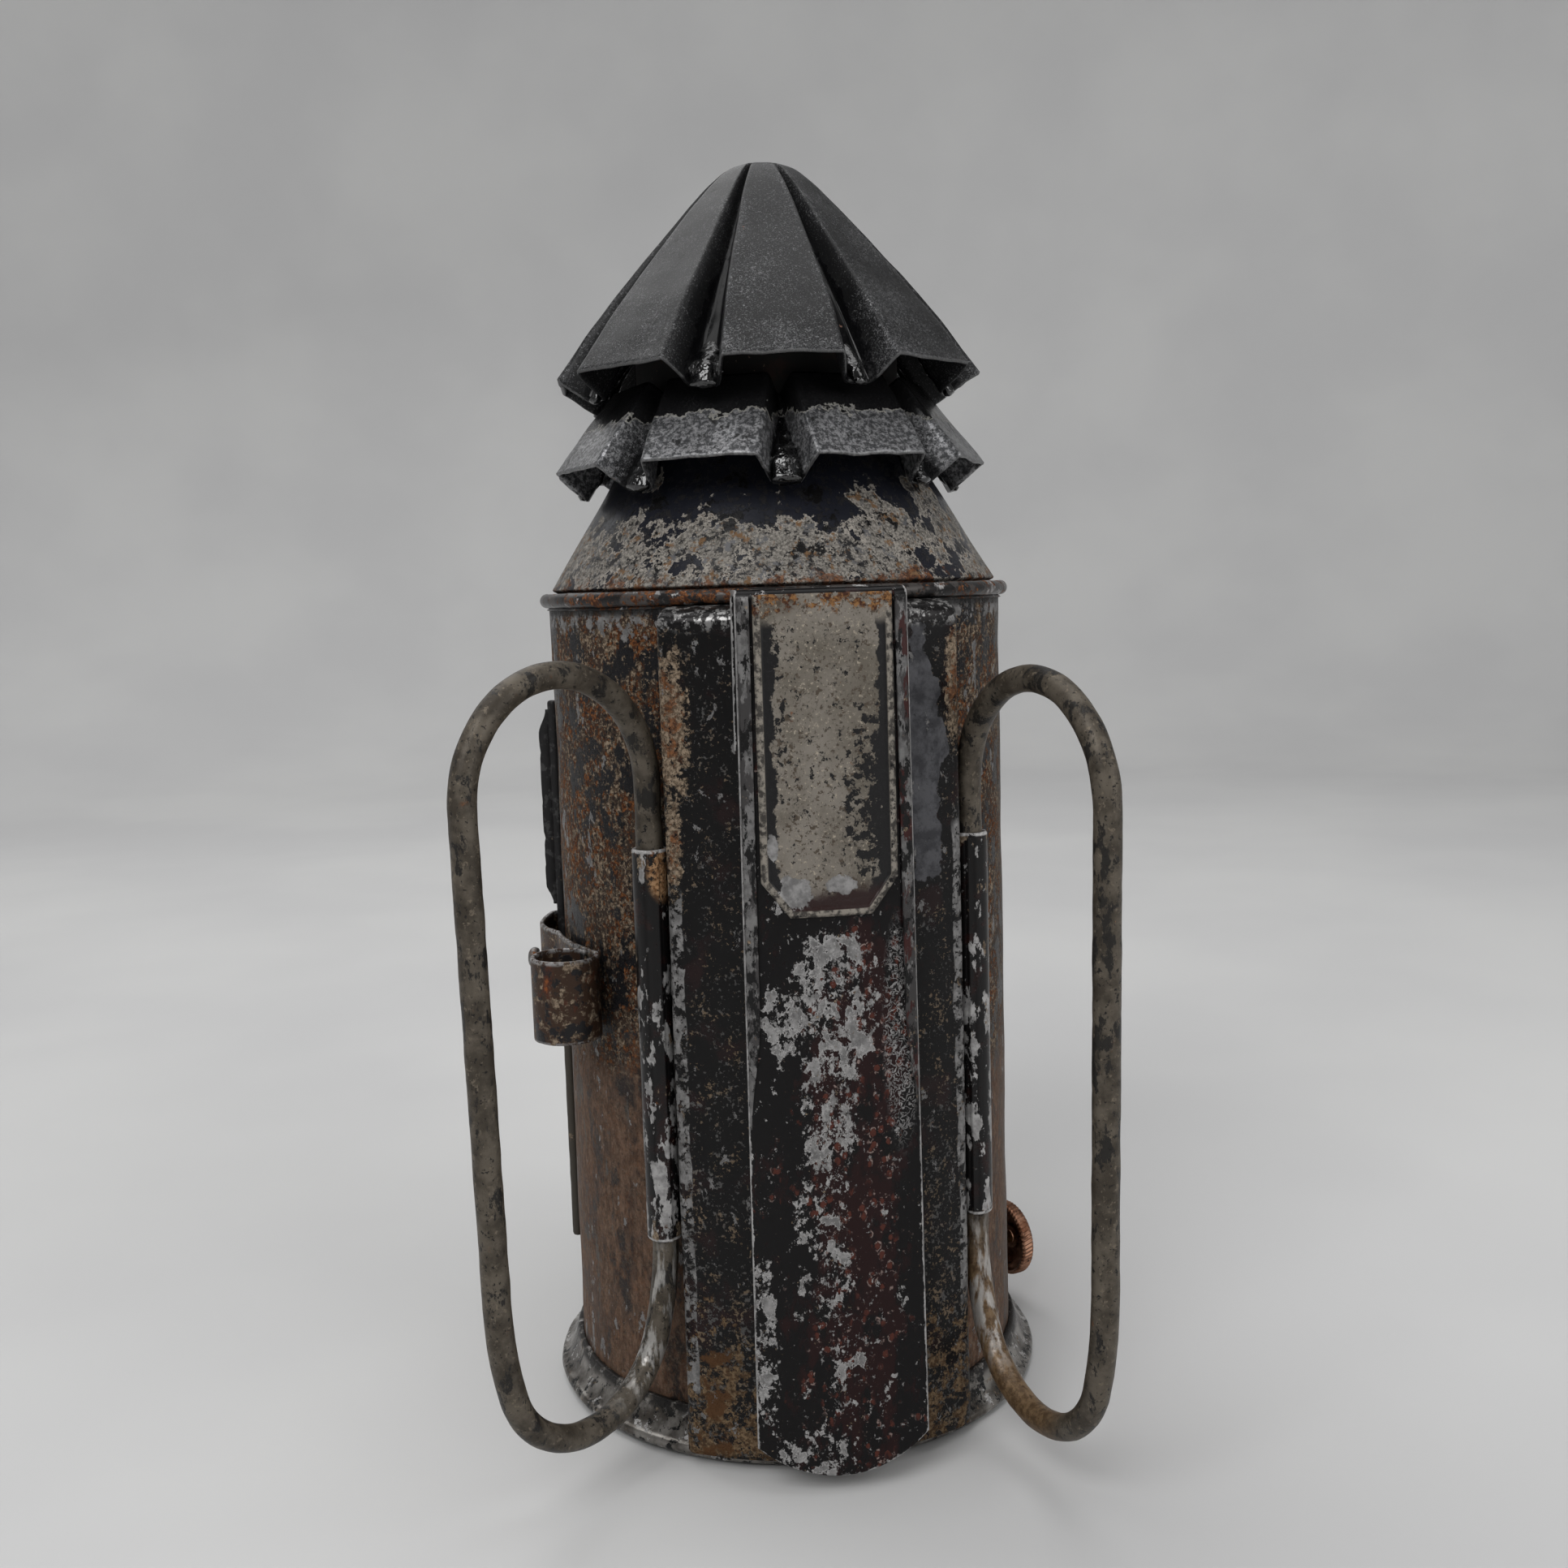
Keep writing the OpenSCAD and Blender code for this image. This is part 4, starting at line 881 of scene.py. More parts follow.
def outward_normals(grid):
    """Normals of a grid that is wrapped round the lantern's axis, away from the axis."""
    n = grid_normals(grid, wrap_v=True)
    return -n if n[0, 0, :2] @ grid[0, 0, :2] < 0 else n


def pleated(name, ridge, phase, rows, surface, replaces, seed, closed):
    """A pleated cone of thin sheet. The ridge profile runs from the rim to the top."""
    line = smooth_line(ridge, rows)
    along = np.gradient(line, axis=0)
    along /= np.linalg.norm(along, axis=1, keepdims=True)
    normal = np.stack([along[:, 1], -along[:, 0]], axis=1)
    run = np.r_[0, np.cumsum(np.linalg.norm(np.diff(line, axis=0), axis=1))]
    across = np.unique(np.round(np.r_[
        np.linspace(-PLEAT_HALF, -20.8, 3), np.linspace(-20.8, -12.6, 13),
        np.linspace(-12.6, 12.6, 11),
        np.linspace(12.6, 20.8, 13), np.linspace(20.8, PLEAT_HALF, 3)[:-1]], 4))
    pleat = np.repeat(np.arange(PLEATS), len(across))
    local = np.tile(across, PLEATS)
    rng = np.random.default_rng(seed)
    shift = rng.normal(0, 0.35, PLEATS)[pleat] * (1 - (np.abs(local) / PLEAT_HALF) ** 4)
    theta = phase + pleat * (360 / PLEATS) + local + shift
    t = (run / run[-1])[:, None]
    # the walls between the faces and the valley: they grow steeper towards the top
    wall0, wall1 = FACE_HALF + 3.2 * t, np.minimum(19.2 + 4.16 * t, 22.4)
    wall = np.clip((np.abs(local)[None, :] - wall0) / (wall1 - wall0), 0, 1)
    drop = wall**2 * (3 - 2 * wall)
    scale = line[:, 0] / ridge[0][0]
    fall = (drop * PLEAT_DEPTH + 0.1) * scale[:, None]
    # the faces are flat: their middles lie nearer the axis than their corners
    flat = math.cos(math.radians(15.6)) / np.cos(np.radians(np.minimum(np.abs(local), 15.6)))
    r = line[:, 0, None] * (0.15 + 0.85 * flat)[None, :] - normal[:, 0, None] * fall
    z = line[:, 1, None] - normal[:, 1, None] * fall
    a = np.radians(theta)[None, :]
    grid = np.stack([r * np.cos(a), r * np.sin(a), z], axis=-1)
    # hand-beaten unevenness, and a rim that isn't quite level
    outward = outward_normals(grid)
    uneven = wobble(grid, 9.0, seed) * 0.28 * np.clip(scale, 0.25, 1)[:, None]
    grid = grid + outward * uneven[..., None]
    lip = wobble(grid[0], 4.0, seed + 3) * 0.35
    down = np.exp(-run / 2.2)[:, None]
    back = np.stack(np.broadcast_arrays(
        along[:, 0, None] * np.cos(a), along[:, 0, None] * np.sin(a), along[:, 1, None]), -1)
    grid = grid - back * (lip[None, :] * down)[..., None]
    # worn bright: the rim, the faces near it and the corners of the faces
    edge = np.clip(1 - run / (0.55 if closed else 0.5), 0, 1)[:, None]
    edge = np.maximum(edge, 0.9 * np.exp(-run / 7.0)[:, None] * (1 - drop))
    edge = np.maximum(edge, 0.55 * np.exp(-(((np.abs(local) - FACE_HALF) / 1.6) ** 2))[None, :])
    valley = drop * np.clip(1.25 - 0.9 * t, 0, 1)
    inner = grid - outward_normals(grid) * CAP_SHEET
    lip_row = (grid[0] + inner[0]) / 2 - back[0] * 0.22
    full = np.concatenate([grid[::-1], lip_row[None], inner])
    nu, nv = full.shape[:2]
    faces = grid_faces(nu, nv, not closed, True)
    points = full.reshape(-1, 3)
    edge_v = np.concatenate([edge[::-1], np.ones_like(edge[:1]), np.zeros_like(edge)]).ravel()
    valley_v = np.concatenate([valley[::-1], valley[:1], np.zeros_like(valley)]).ravel()
    if closed:
        top_out, top_in = full[0].mean(0), full[-1].mean(0)
        top_out[2] += 0.12
        points = np.concatenate([points, [top_out, top_in]])
        edge_v, valley_v = np.r_[edge_v, 0, 0], np.r_[valley_v, 0, 0]
        n = len(points)
        faces += [(n - 2, j, (j + 1) % nv) for j in range(nv)]
        faces += [(n - 1, (nu - 1) * nv + (j + 1) % nv, (nu - 1) * nv + j) for j in range(nv)]
    return piece(name, points, faces, surface, "chimney", replaces=replaces, slot="chimney_black",
                 attributes={"edge": edge_v, "valley": valley_v})


CAP_RIDGE = [(35.8, 169.8), (29.6, 178.1), (23.9, 184.8), (17.95, 191.5), (12, 198.1), (8.7, 201.4),
             (5.5, 203.8), (2.4, 204.7)]
RING_RIDGE = [(36.2, 155.2), (31.1, 161.6), (26, 168)]
pleated("cap_pleated", CAP_RIDGE, CAP_PHASE, 70, make_cap("cap_black_satin", 0.0),
        ["upper_pleat_cap"], 5, True)
pleated("ring_pleated", RING_RIDGE, CAP_PHASE + PLEAT_HALF, 34,
        make_cap("ring_black_worn", 0.185, 161.9), ["lower_pleat_ring"], 8, False)


def drip(name, angle, path, sizes, seed):
    """A run of thick black paint that follows (r, z) points and ends in a drop."""
    line = smooth_line(path, 40)
    size = np.interp(np.linspace(0, 1, 40), np.linspace(0, 1, len(sizes)), sizes)
    size[0] = size[-1] = 0.12
    turn = np.radians(np.linspace(0, 360, 28, endpoint=False))
    along = np.gradient(line, axis=0)
    along /= np.linalg.norm(along, axis=1, keepdims=True)
    a = math.radians(angle)
    radial, side = directions(a)
    centre = line[:, 0, None] * radial + line[:, 1, None] * UP
    normal = along[:, 1, None] * radial - along[:, 0, None] * UP
    flat, wide = 0.75 * np.cos(turn)[None, :, None], 1.25 * np.sin(turn)[None, :, None]
    grid = centre[:, None] + size[:, None, None] * (flat * normal[:, None] + wide * side)
    lump = 1 + 0.28 * wobble(grid, 1.5, seed)
    grid = centre[:, None] + (grid - centre[:, None]) * lump[..., None]
    return grid_piece(name, grid, tar, "chimney", wrap_v=True, caps=True, slot="chimney_black")


tar = make_tar()
for k in range(PLEATS):
    big = (0.5, 0.7, 0.6, 1.0)[k % 4]
    drip(f"cap_drip_{k}", CAP_PHASE + (2 * k + 1) * PLEAT_HALF,
         [(24.2, 174.6), (27.6, 170.6), (30.3, 167.2), (31.2, 165.4)],
         [0.4, 0.9 * big, 1.8 * big, 2.2 * big, 1.4 * big], 20 + k)
    big = (1.0, 0.7, 0.6, 0.9)[k % 4]
    drip(f"ring_drip_{k}", CAP_PHASE + 2 * k * PLEAT_HALF,
         [(24.6, 161.0), (27.6, 156.6), (30.8, 152.6), (32.0, 150.9)],
         [0.8, 1.0 * big + 0.4, 1.4 * big + 0.6, 2.0 * big + 0.2, 1.5 * big], 40 + k)

cone_profile = dense(rounded([
    (36.4, 128.05), (36.4, 135.5), (37.4, 136.0), (24.6, 156.7), (22.0, 160.1), (22.0, 159.1),
    (23.8, 156.3), (35.65, 135.8), (35.65, 128.05)],
    [0.2, 0.3, 0.35, 1.2, 0.3, 0.3, 1.0, 0.4, 0.2]), 1.2)
cone = revolve(cone_profile, 144)
cone = cone + grid_normals(cone, True, True) * (wobble(cone, 16, 3) * 0.18
    * step(cone[..., 2], 136.5, 141))[..., None]
grid_piece("shoulder_cone_beaten", cone, make_cone(), "chimney", wrap_u=True, wrap_v=True,
           replaces=["shoulder_cone"], slot="japanned_tinplate")

# Body ------------------------------------------------------------------------------------

bead_turn = np.radians(np.arange(-118, 172, 12))
bead_profile = np.array(
    [(38.06, 132.65), (38.42, 132.75)]
    + [(38.3 + 1.2 * math.cos(t), RIM_Z + 1.2 * math.sin(t)) for t in bead_turn]
    + [(37.28, 134.2), (38.06, 134.2)])
bead = revolve(bead_profile, 300)
centre = polar(np.linspace(0, 360, 300, endpoint=False)[:, None], np.full((1, 1), 38.3),
               np.full((1, 1), RIM_Z))
swell = 1 + 0.07 * wobble(bead, 5.0, 11)[..., None] - 0.05
bead = centre + (bead - centre) * np.minimum(swell, 1.0)
grid_piece("rim_bead_wired", bead, make_bead(), "lantern_body", wrap_u=True, wrap_v=True,
           replaces=["top_bead"], slot="rusted_tinplate")


def build_body():
    """The body wall, with the window behind the door and the winder's hole."""
    angles = np.r_[np.linspace(-180, 180, 181)[:-1], -WINDOW_ANGLE, WINDOW_ANGLE]
    angles = np.unique(np.round(angles, 3))
    heights = np.r_[np.linspace(1.0, 134.3, 84), WINDOW_LOW_Z, WINDOW_TOP_Z, 132, 132.6, 133.2]
    heights = np.unique(np.round(heights, 3))
    grid = polar(angles[:, None], BODY_R, heights[None, :])
    radial = grid * np.array([1, 1, 0.0])
    radial /= np.linalg.norm(radial, axis=-1, keepdims=True)
    z = grid[..., 2]
    dents = np.minimum(wobble(grid, 17, 4) * 0.22 - 0.1, 0) * step(z, 9,
        16) * (1 - step(z, 126, 131))
    grid = grid + radial * dents[..., None]
    nu, nv = grid.shape[:2]
    spindle = WINDER_CENTRE + WINDER_OUT * 37.7  # where it leaves the wall
    faces = []
    for f in grid_faces(nu, nv, True, False):
        mid = np.mean([grid[i // nv, i % nv] for i in (f[0], f[2])], axis=0)
        azimuth = abs(math.degrees(math.atan2(mid[0], mid[1])))
        in_window = azimuth > WINDOW_ANGLE and WINDOW_LOW_Z < mid[2] < WINDOW_TOP_Z
        if not in_window and np.linalg.norm(mid - spindle) >= 1.6:
            faces.append(f)
    wall = piece("body_wall", grid, faces, make_body(), "lantern_body", replaces=["body_shell"],
                 slot="rusted_tinplate")
    solidify(wall, SHEET)


# The spindle leaves the body in this direction, beside the wick
w = math.radians(WINDER_ANGLE)
WINDER_OUT = np.array([-math.sin(w), math.cos(w), 0.0])
WINDER_SIDE = np.array([-math.cos(w), -math.sin(w), 0.0])
WINDER_CENTRE = WINDER_SIDE * -WINDER_OFFSET + UP * WINDER_Z
build_body()

flange_profile = dense(rounded([
    (38.06, 7.0), (38.9, 7.0), (39.3, 5.2), (40.6, 2.9), (41.2, 2.33), (41.9, 2.05), (42.15, 1.35),
    (41.9, 0.65), (41.2, 0.38),
    (40.5, 0.65), (40.25, 1.35), (40.0, 2.6), (38.6, 4.4), (38.06, 5.2)],
                               [0.1, 0.4, 0.6] + [0.3] * 11, 3), 0.8)
flange = revolve(flange_profile, 260)
on_roll = step(np.hypot(flange[..., 0], flange[..., 1]), 39.2, 41.0)
flange[..., :2] *= (1 + np.minimum(wobble(flange, 9, 6) * 0.0035 - 0.0015, 0) * on_roll)[..., None]
grid_piece("base_flange_rolled", flange, make_flange(), "lantern_body", wrap_u=True, wrap_v=True,
           replaces=["base_flange"], slot="rusted_tinplate")

# Back ------------------------------------------------------------------------------------


def build_shield():
    """The raised pressing that keeps the hook off the hot body."""
    half_arc = math.radians(SHIELD_HALF) * SHIELD_R
    corner = [(-half_arc, SHIELD_FOOT_R), (-half_arc + 0.05, SHIELD_R), (half_arc - 0.05, SHIELD_R),
              (half_arc, SHIELD_FOOT_R)]
    path = dense(rounded(corner, [0, 1.3, 1.3, 0], 7, closed=False), 0.55, closed=False)
    top_round = SHIELD_TOP_ROUND * np.sin(np.radians(np.linspace(9, 90, 10)))
    heights = np.r_[np.linspace(SHIELD_LOW_Z, SHIELD_TOP_Z, 110), SHIELD_TOP_Z + top_round]
    arc, r = path[None, :, 0], path[None, :, 1]
    ridge = 0.16 * np.exp(-(((np.abs(arc) - (half_arc - 1.9)) / 0.8) ** 2))
    h = heights[:, None]
    ridge = ridge * (1 - step(h, 92, 102))
    close = np.sqrt(np.clip(1 - ((h - SHIELD_TOP_Z) / SHIELD_TOP_ROUND).clip(0, 1) ** 2, 0, 1))
    low = np.where(h < 7.8, 42.6, SHIELD_FOOT_R)  # the foot stands clear of the rolled flange
    radius = np.maximum(r - 0.18 + ridge, low)
    radius = 38.4 + (radius - 38.4) * close
    angle = np.degrees(arc / SHIELD_R) * (1 - 0.02 * (1 - close))
    grid = polar(angle, radius, h)
    dents = np.minimum(wobble(grid, 14, 9) * 0.18 - 0.06, 0) * (radius > 42.5)
    grid = grid + polar(angle, 1.0, 0.0) * dents[..., None]
    full = sheet_grid(grid, SHIELD_SHEET * orientation(grid))
    grid_piece("heat_shield_pressed", full, make_shield(), "lantern_body", wrap_u=True,
               replaces=["heat_shield"], slot="japanned_tinplate")


def orientation(grid):
    """1 if the grid's normals point away from the lantern's axis, else -1."""
    n = grid_normals(grid)
    mid = tuple(s // 2 for s in grid.shape[:2])
    out = grid[mid] * np.array([1, 1, 0.0])
    return 1.0 if n[mid] @ out > 0 else -1.0


build_shield()


def strap_half(z):
    """Half of the hook's width at a height."""
    tip_z = CLIP_LOW_Z + CLIP_TIP_H - 0.05
    return CLIP_TIP_HALF - 0.7 * (z - tip_z) / (CLIP_TOP_Z - tip_z)


def build_strap():
    """One strip: the outer leaf with its arched foot, the fold at the top and the inner leaf."""
    outer, inner = CLIP_R + CLIP_SHEET / 2, SHIELD_R + 0.05 + CLIP_SHEET / 2
    top = CLIP_TOP_Z - CLIP_SHEET / 2
    corners = [(outer, CLIP_LOW_Z), (outer, top), (inner, top), (inner, CLIP_LEAF_Z)]
    line = dense(rounded(corners, [0, 1.3, 1.1, 0], 7, closed=False), 1.3, closed=False)
    across = np.sin(np.linspace(-90, 90, 41) * math.pi / 180)
    across = np.sign(across) * np.abs(across) ** 0.9
    half = strap_half(line[:, 1])
    half[(line[:, 0] < outer - 0.4)] -= 0.1
    x = half[:, None] * across[None, :]
    # the foot is a shallow arc: the rows near it bend to follow it
    foot_r = (CLIP_TIP_HALF**2 + CLIP_TIP_H**2) / (2 * CLIP_TIP_H)
    sag = foot_r - np.sqrt(foot_r**2 - np.minimum(np.abs(x), 12.9) ** 2)
    near = np.clip(1 - (line[:, 1] - CLIP_LOW_Z) / 16.0, 0, 1) * (line[:, 0] > outer - 0.1)
    height = line[:, 1, None] + sag * near[:, None]
    wave = wobble(np.stack([x, x * 0 + 50, height], -1), 16, 21) * 0.13
    r = line[:, 0, None] + np.where(line[:, 0, None] > 48, np.minimum(wave, 0.0), 0)
    grid = np.stack([x, np.sqrt(np.maximum(r**2 - x**2, 1)), height], -1)
    edge = np.clip((np.abs(across)[None, :] * half[:, None] - half[:, None] + 0.7) / 0.7, 0, 1)
    edge = np.maximum(edge, np.clip(1 - (line[:, 1, None] - CLIP_LOW_Z) / 0.5, 0, 1) * 0.7)
    obj = piece("belt_clip_strap", grid, grid_faces(*grid.shape[:2], False, False), make_strap(),
                "lantern_body",
                replaces=["belt_clip"], slot="japanned_tinplate", attributes={"edge": edge})
    solidify(obj, CLIP_SHEET - 0.06, 0.0)
    bevel(obj, 0.24)
    return obj


build_strap()

hem_paint = make_hem()
for side, name in ((1, "left"), (-1, "right")):
    z = np.r_[np.linspace(HEM_LOW_Z, HEM_LOW_Z + 5, 6), np.linspace(HEM_LOW_Z + 6, HEM_TOP_Z, 80)]
    width = 1.55 * step(z, 56.5, 74) + 0.25
    high = 0.1 + 0.52 * step(z, 56.5, 70)
    section = rounded([(-0.5, 0), (-0.5, 1), (0.5, 1), (0.5, 0)], 0.32, 3)
    mid = side * (strap_half(z) - 0.12 - width / 2)
    x = mid[:, None] + section[None, :, 0] * width[:, None]
    r = CLIP_R + CLIP_SHEET - 0.25 + section[None, :, 1] * (high[:, None] + 0.2)
    z = np.broadcast_to(z[:, None], x.shape)
    r = r + np.minimum(wobble(np.stack([x, r, z], -1), 7, 30 + side) * 0.06, 0.05)
    grid = np.stack([x, np.sqrt(r**2 - x**2), z], -1)
    grid_piece(f"clip_hem_{name}", grid, hem_paint, "lantern_body", wrap_v=True, caps=True,
               slot="japanned_tinplate")


def build_plate():
    """The doubling plate, pressed with a raised rim along its sides and foot."""
    z = np.r_[np.linspace(PLATE_LOW_Z, PLATE_SHOULDER_Z, 16),
              np.linspace(PLATE_SHOULDER_Z, PLATE_TOP_Z, 90)[1:]]
    half = np.interp(z, [PLATE_LOW_Z, PLATE_SHOULDER_Z], [PLATE_FOOT_HALF, PLATE_HALF])
    across = np.linspace(-1, 1, 61)
    x = half[:, None] * across[None, :]
    z = np.broadcast_to(z[:, None], x.shape)
    # distance from the plate's outline: its chamfered corners, its sides and its foot
    wide, tall = PLATE_HALF - PLATE_FOOT_HALF, PLATE_SHOULDER_Z - PLATE_LOW_Z
    chamfer = (z - PLATE_LOW_Z) * wide - (np.abs(x) - PLATE_FOOT_HALF) * tall
    chamfer /= math.hypot(wide, tall)
    inset = np.minimum(np.minimum(PLATE_HALF - np.abs(x), chamfer), z - PLATE_LOW_Z)
    rim = step(inset, -0.1, 0.35) * (1 - step(inset, 0.85, 1.35))
    r = CLIP_R + CLIP_SHEET + 0.32 + 0.34 * rim + 0.06 * step(inset, 1.3, 5)
    r = r + np.minimum(wobble(np.stack([x, r, z], -1), 11, 17) * 0.05, 0.04)
    grid = np.stack([x, np.sqrt(r**2 - x**2), z], -1)
    obj = piece("clip_plate_pressed", grid, grid_faces(*grid.shape[:2], False, False), make_plate(),
                "lantern_body",
                replaces=["clip_plate"], slot="rusted_tinplate", attributes={"inset": inset})
    if (obj.data.polygons[0].normal @ Vector((0, 1, 0))) < 0:
        obj.data.flip_normals()
    solidify(obj, 0.34)
    bevel(obj, 0.1)
    return obj


build_plate()

# Handles ---------------------------------------------------------------------------------


def trace(moves, bend_step):
    """Points and headings along moves of [length, 0] or [radius, angle]."""
    at, heading, out = np.zeros(2), 0.0, []
    for size, turn in moves:
        if turn == 0:
            n = max(1, int(size / 1.2))
            run = size * np.array([math.cos(heading), math.sin(heading)])
            out += [(*(at + run * k / n), heading) for k in range(n)]
            at = at + run
            continue
        n = max(2, int(math.ceil(abs(turn) / bend_step)))
        side, rad = math.copysign(1, turn), math.radians(turn)
        middle = at + side * size * np.array([-math.sin(heading), math.cos(heading)])
        for k in range(n):
            h = heading + rad * k / n
            out.append((*(middle + side * size * np.array([math.sin(h), -math.cos(h)])), h))
        heading += rad
        at = middle + side * size * np.array([math.sin(heading), -math.cos(heading)])
    out.append((*at, heading))
    return np.array(out)


LEG_TOP, LEG_LOW, LOOP_W = 105.3, 35.4, 34.5
LOWER, FOOT_TURN, OUTER, BAR = (45, 20), 145, (60, 14), 69.5


def wire_path():
    """The handle's centreline as (outward, height), closed: the hinge leg, then its bends."""
    deg = math.radians
    foot_r = (LOOP_W - LOWER[0] * (1 - math.cos(deg(LOWER[1]))) - BAR * math.sin(deg(1))
              - OUTER[0] * (math.cos(deg(165)) - math.cos(deg(179)))) / (math.cos(deg(20))
        - math.cos(deg(165)))
    closing = LOOP_W / (1 - math.cos(deg(181)))
    path = trace([LOWER, (foot_r, FOOT_TURN), OUTER, (BAR, 0), (closing, 181)], 3.0)
    # the path heads down the leg, so its x is depth below the leg's foot
    points = np.stack([path[:, 1], LEG_LOW - path[:, 0]], 1)
    leg = np.stack([np.zeros(45), np.linspace(LEG_TOP, LEG_LOW, 45)], 1)
    return np.concatenate([points, leg[1:-1]])


def build_handle(side, swing, lift, name, surface):
    """A closed loop of wire, which swings about the leg inside its sleeve."""
    path = wire_path()
    ahead = np.roll(path, -1, 0) - np.roll(path, 1, 0)
    ahead /= np.linalg.norm(ahead, axis=1, keepdims=True)
    out2 = np.stack([-ahead[:, 1], ahead[:, 0]], 1)
    turn = np.radians(np.linspace(0, 360, 24, endpoint=False))
    in_sleeve = (np.abs(path[:, 0]) < 0.6) & (path[:, 1] > 34) & (path[:, 1] < 100)
    a = math.radians(90 - side * SLEEVE_ANGLE)
    hinge = directions(a)[0] * SLEEVE_AXIS_R + UP * lift
    radial, across = directions(a - math.radians(side * swing))
    middle = hinge + path[:, 0, None] * radial + path[:, 1, None] * UP
    normal = (out2[:, 0, None] * radial + out2[:, 1, None] * UP)[:, None]
    circle = np.cos(turn)[None, :, None] * normal + np.sin(turn)[None, :, None] * across
    grid = middle[:, None] + WIRE_R * circle
    lump = -0.045 + 0.045 * wobble(grid, 4.0, 50 + side)
    lump = np.where(in_sleeve[:, None], -0.01, np.minimum(lump, 0))
    grid = middle[:, None] + (grid - middle[:, None]) * (1 + lump[..., None])
    return grid_piece(f"handle_{name}_wire", grid, surface, f"{name}_handle", wrap_u=True,
                      wrap_v=True,
                      replaces=[f"handle_{name}"], slot="handle_wire")


build_handle(1, 12.3, 1.3, "left", make_handle("handle_left_worn", 3.0, 11.0))
build_handle(-1, -18.7, -1.5, "right", make_handle("handle_right_worn", 13.0, 6.0, 0.85))


def build_sleeve(side, name, surface):
    """A strip of sheet rolled round the wire, with its lap on the side of the shield."""
    turn = np.linspace(0, 360, 73)[:-1]
    radius = SLEEVE_R - 0.3 + 0.3 * turn / 360
    radial, across = directions(math.radians(90 - side * SLEEVE_ANGLE))
    across = across * side
    phi = np.radians(SLEEVE_LAP_ANGLE + turn)[:, None]
    circle = np.cos(phi) * radial + np.sin(phi) * across
    outer, inner = radius[:, None] * circle, (WIRE_R + 0.06) * circle
    low, top = SLEEVE_LOW_Z, SLEEVE_TOP_Z
    z = np.r_[low, low + 0.25, low + 0.7, np.linspace(38, 95.5, 50), top - 0.7, top - 0.25, top]
    hinge = radial * SLEEVE_AXIS_R
    lip = np.ones(len(z))
    lip[[0, -1]] = 0.95
    grid_out = hinge + outer[None] * lip[:, None, None] + UP * z[:, None, None]
    lump = np.minimum(wobble(grid_out, 6, 60 + side) * 0.05 - 0.02, 0)
    grid_out = grid_out + circle[None] * lump[..., None]
    grid_in = (hinge + inner[None] + UP * z[:, None, None])[::-1]
    full = np.concatenate([grid_out, grid_in])
    grid_piece(f"sleeve_{name}_rolled", full, surface, "lantern_body", wrap_u=True, wrap_v=True,
               replaces=[f"handle_sleeve_{name}"], slot="japanned_tinplate")
    # the web that carries the roll
    z = np.linspace(39.5, 93.5, 40)
    section = rounded([(-3.35, -1.5), (-3.35, 1.5), (-2.75, 1.1), (-2.4, 0.9), (-2.4, -0.9),
                       (-2.75, -1.1)], 0.2, 3)
    base = hinge + section[:, 0, None] * radial + section[:, 1, None] * across
    web = base[None] + UP * z[:, None, None]
    grid_piece(f"sleeve_{name}_web", web, surface, "lantern_body", wrap_v=True, caps=True,
               slot="japanned_tinplate")


sleeve_paint = make_sleeve()
build_sleeve(1, "left", sleeve_paint)
build_sleeve(-1, "right", sleeve_paint)

# Door catch and edge ---------------------------------------------------------------------


def build_catch():
    """The spring catch: a strap along the door, a step over its edge and a rolled finger loop."""
    leaf_r = DOOR_R + SHEET + 0.15 + CATCH_SHEET / 2
    moves = [(leaf_r, 7), (2.5, -38), (1.6, 0), (2.5, 44), (leaf_r + 2.3, 8), (14, 44), (3, -27.5),
             (BODY_R + 1.15, 24), (5.05, -270), (4.1, -95)]
    path = trace(moves, 3.0)
    start = math.radians(90 - CATCH_ANGLE)
    radial, across = directions(start)
    flat = radial[:2] * leaf_r + path[:, :1] * across[:2] - path[:, 1:2] * radial[:2]
    heading = path[:, 2] + start + math.pi / 2
    normal = np.stack([-np.sin(heading), np.cos(heading)], 1)
    t, z0, z1 = CATCH_SHEET / 2 - 0.01, CATCH_Z0, CATCH_Z1
    section = dense(rounded([(-t, z0), (t, z0), (t, z1), (-t, z1)], 0.26, 3), 1.1)
    grid = np.zeros((len(flat), len(section), 3))
    grid[..., :2] = flat[:, None] + section[None, :, 0, None] * normal[:, None]
    grid[..., 2] = section[None, :, 1]
    nick = wobble(grid, 2.6, 71) * 0.16
    grid[..., 2] -= np.sign(grid[..., 2] - 72.3) * np.clip(nick, 0, 0.3)
    grid_piece("catch_strap_rolled", grid, make_roll(), "catch", wrap_v=True, caps=True,
               replaces=["catch_strap"], slot="rusted_spring")


build_catch()


def turned(name, origin, axis, profile, count, surface, body, knurl=None, **more):
    """A profile of (radius, distance along the axis) turned round any axis."""
    axis = np.array(axis, float) / np.linalg.norm(axis)
    side = np.cross(axis, [0, 0, 1.0])
    side /= np.linalg.norm(side)
    other = np.cross(axis, side)
    turn = np.radians(np.linspace(0, 360, count, endpoint=False))[:, None]
    r, t = profile[None, :, 0], profile[None, :, 1]
    if knurl is not None:
        r = knurl(turn, r, t)
    r, t = np.broadcast_arrays(r, t + 0 * turn)
    grid = origin + (r * np.cos(turn))[..., None] * side + (r * np.sin(turn))[..., None] * other
    grid = grid + t[..., None] * axis
    grid_piece(name, grid, surface, body, wrap_u=True, wrap_v=True, **more)


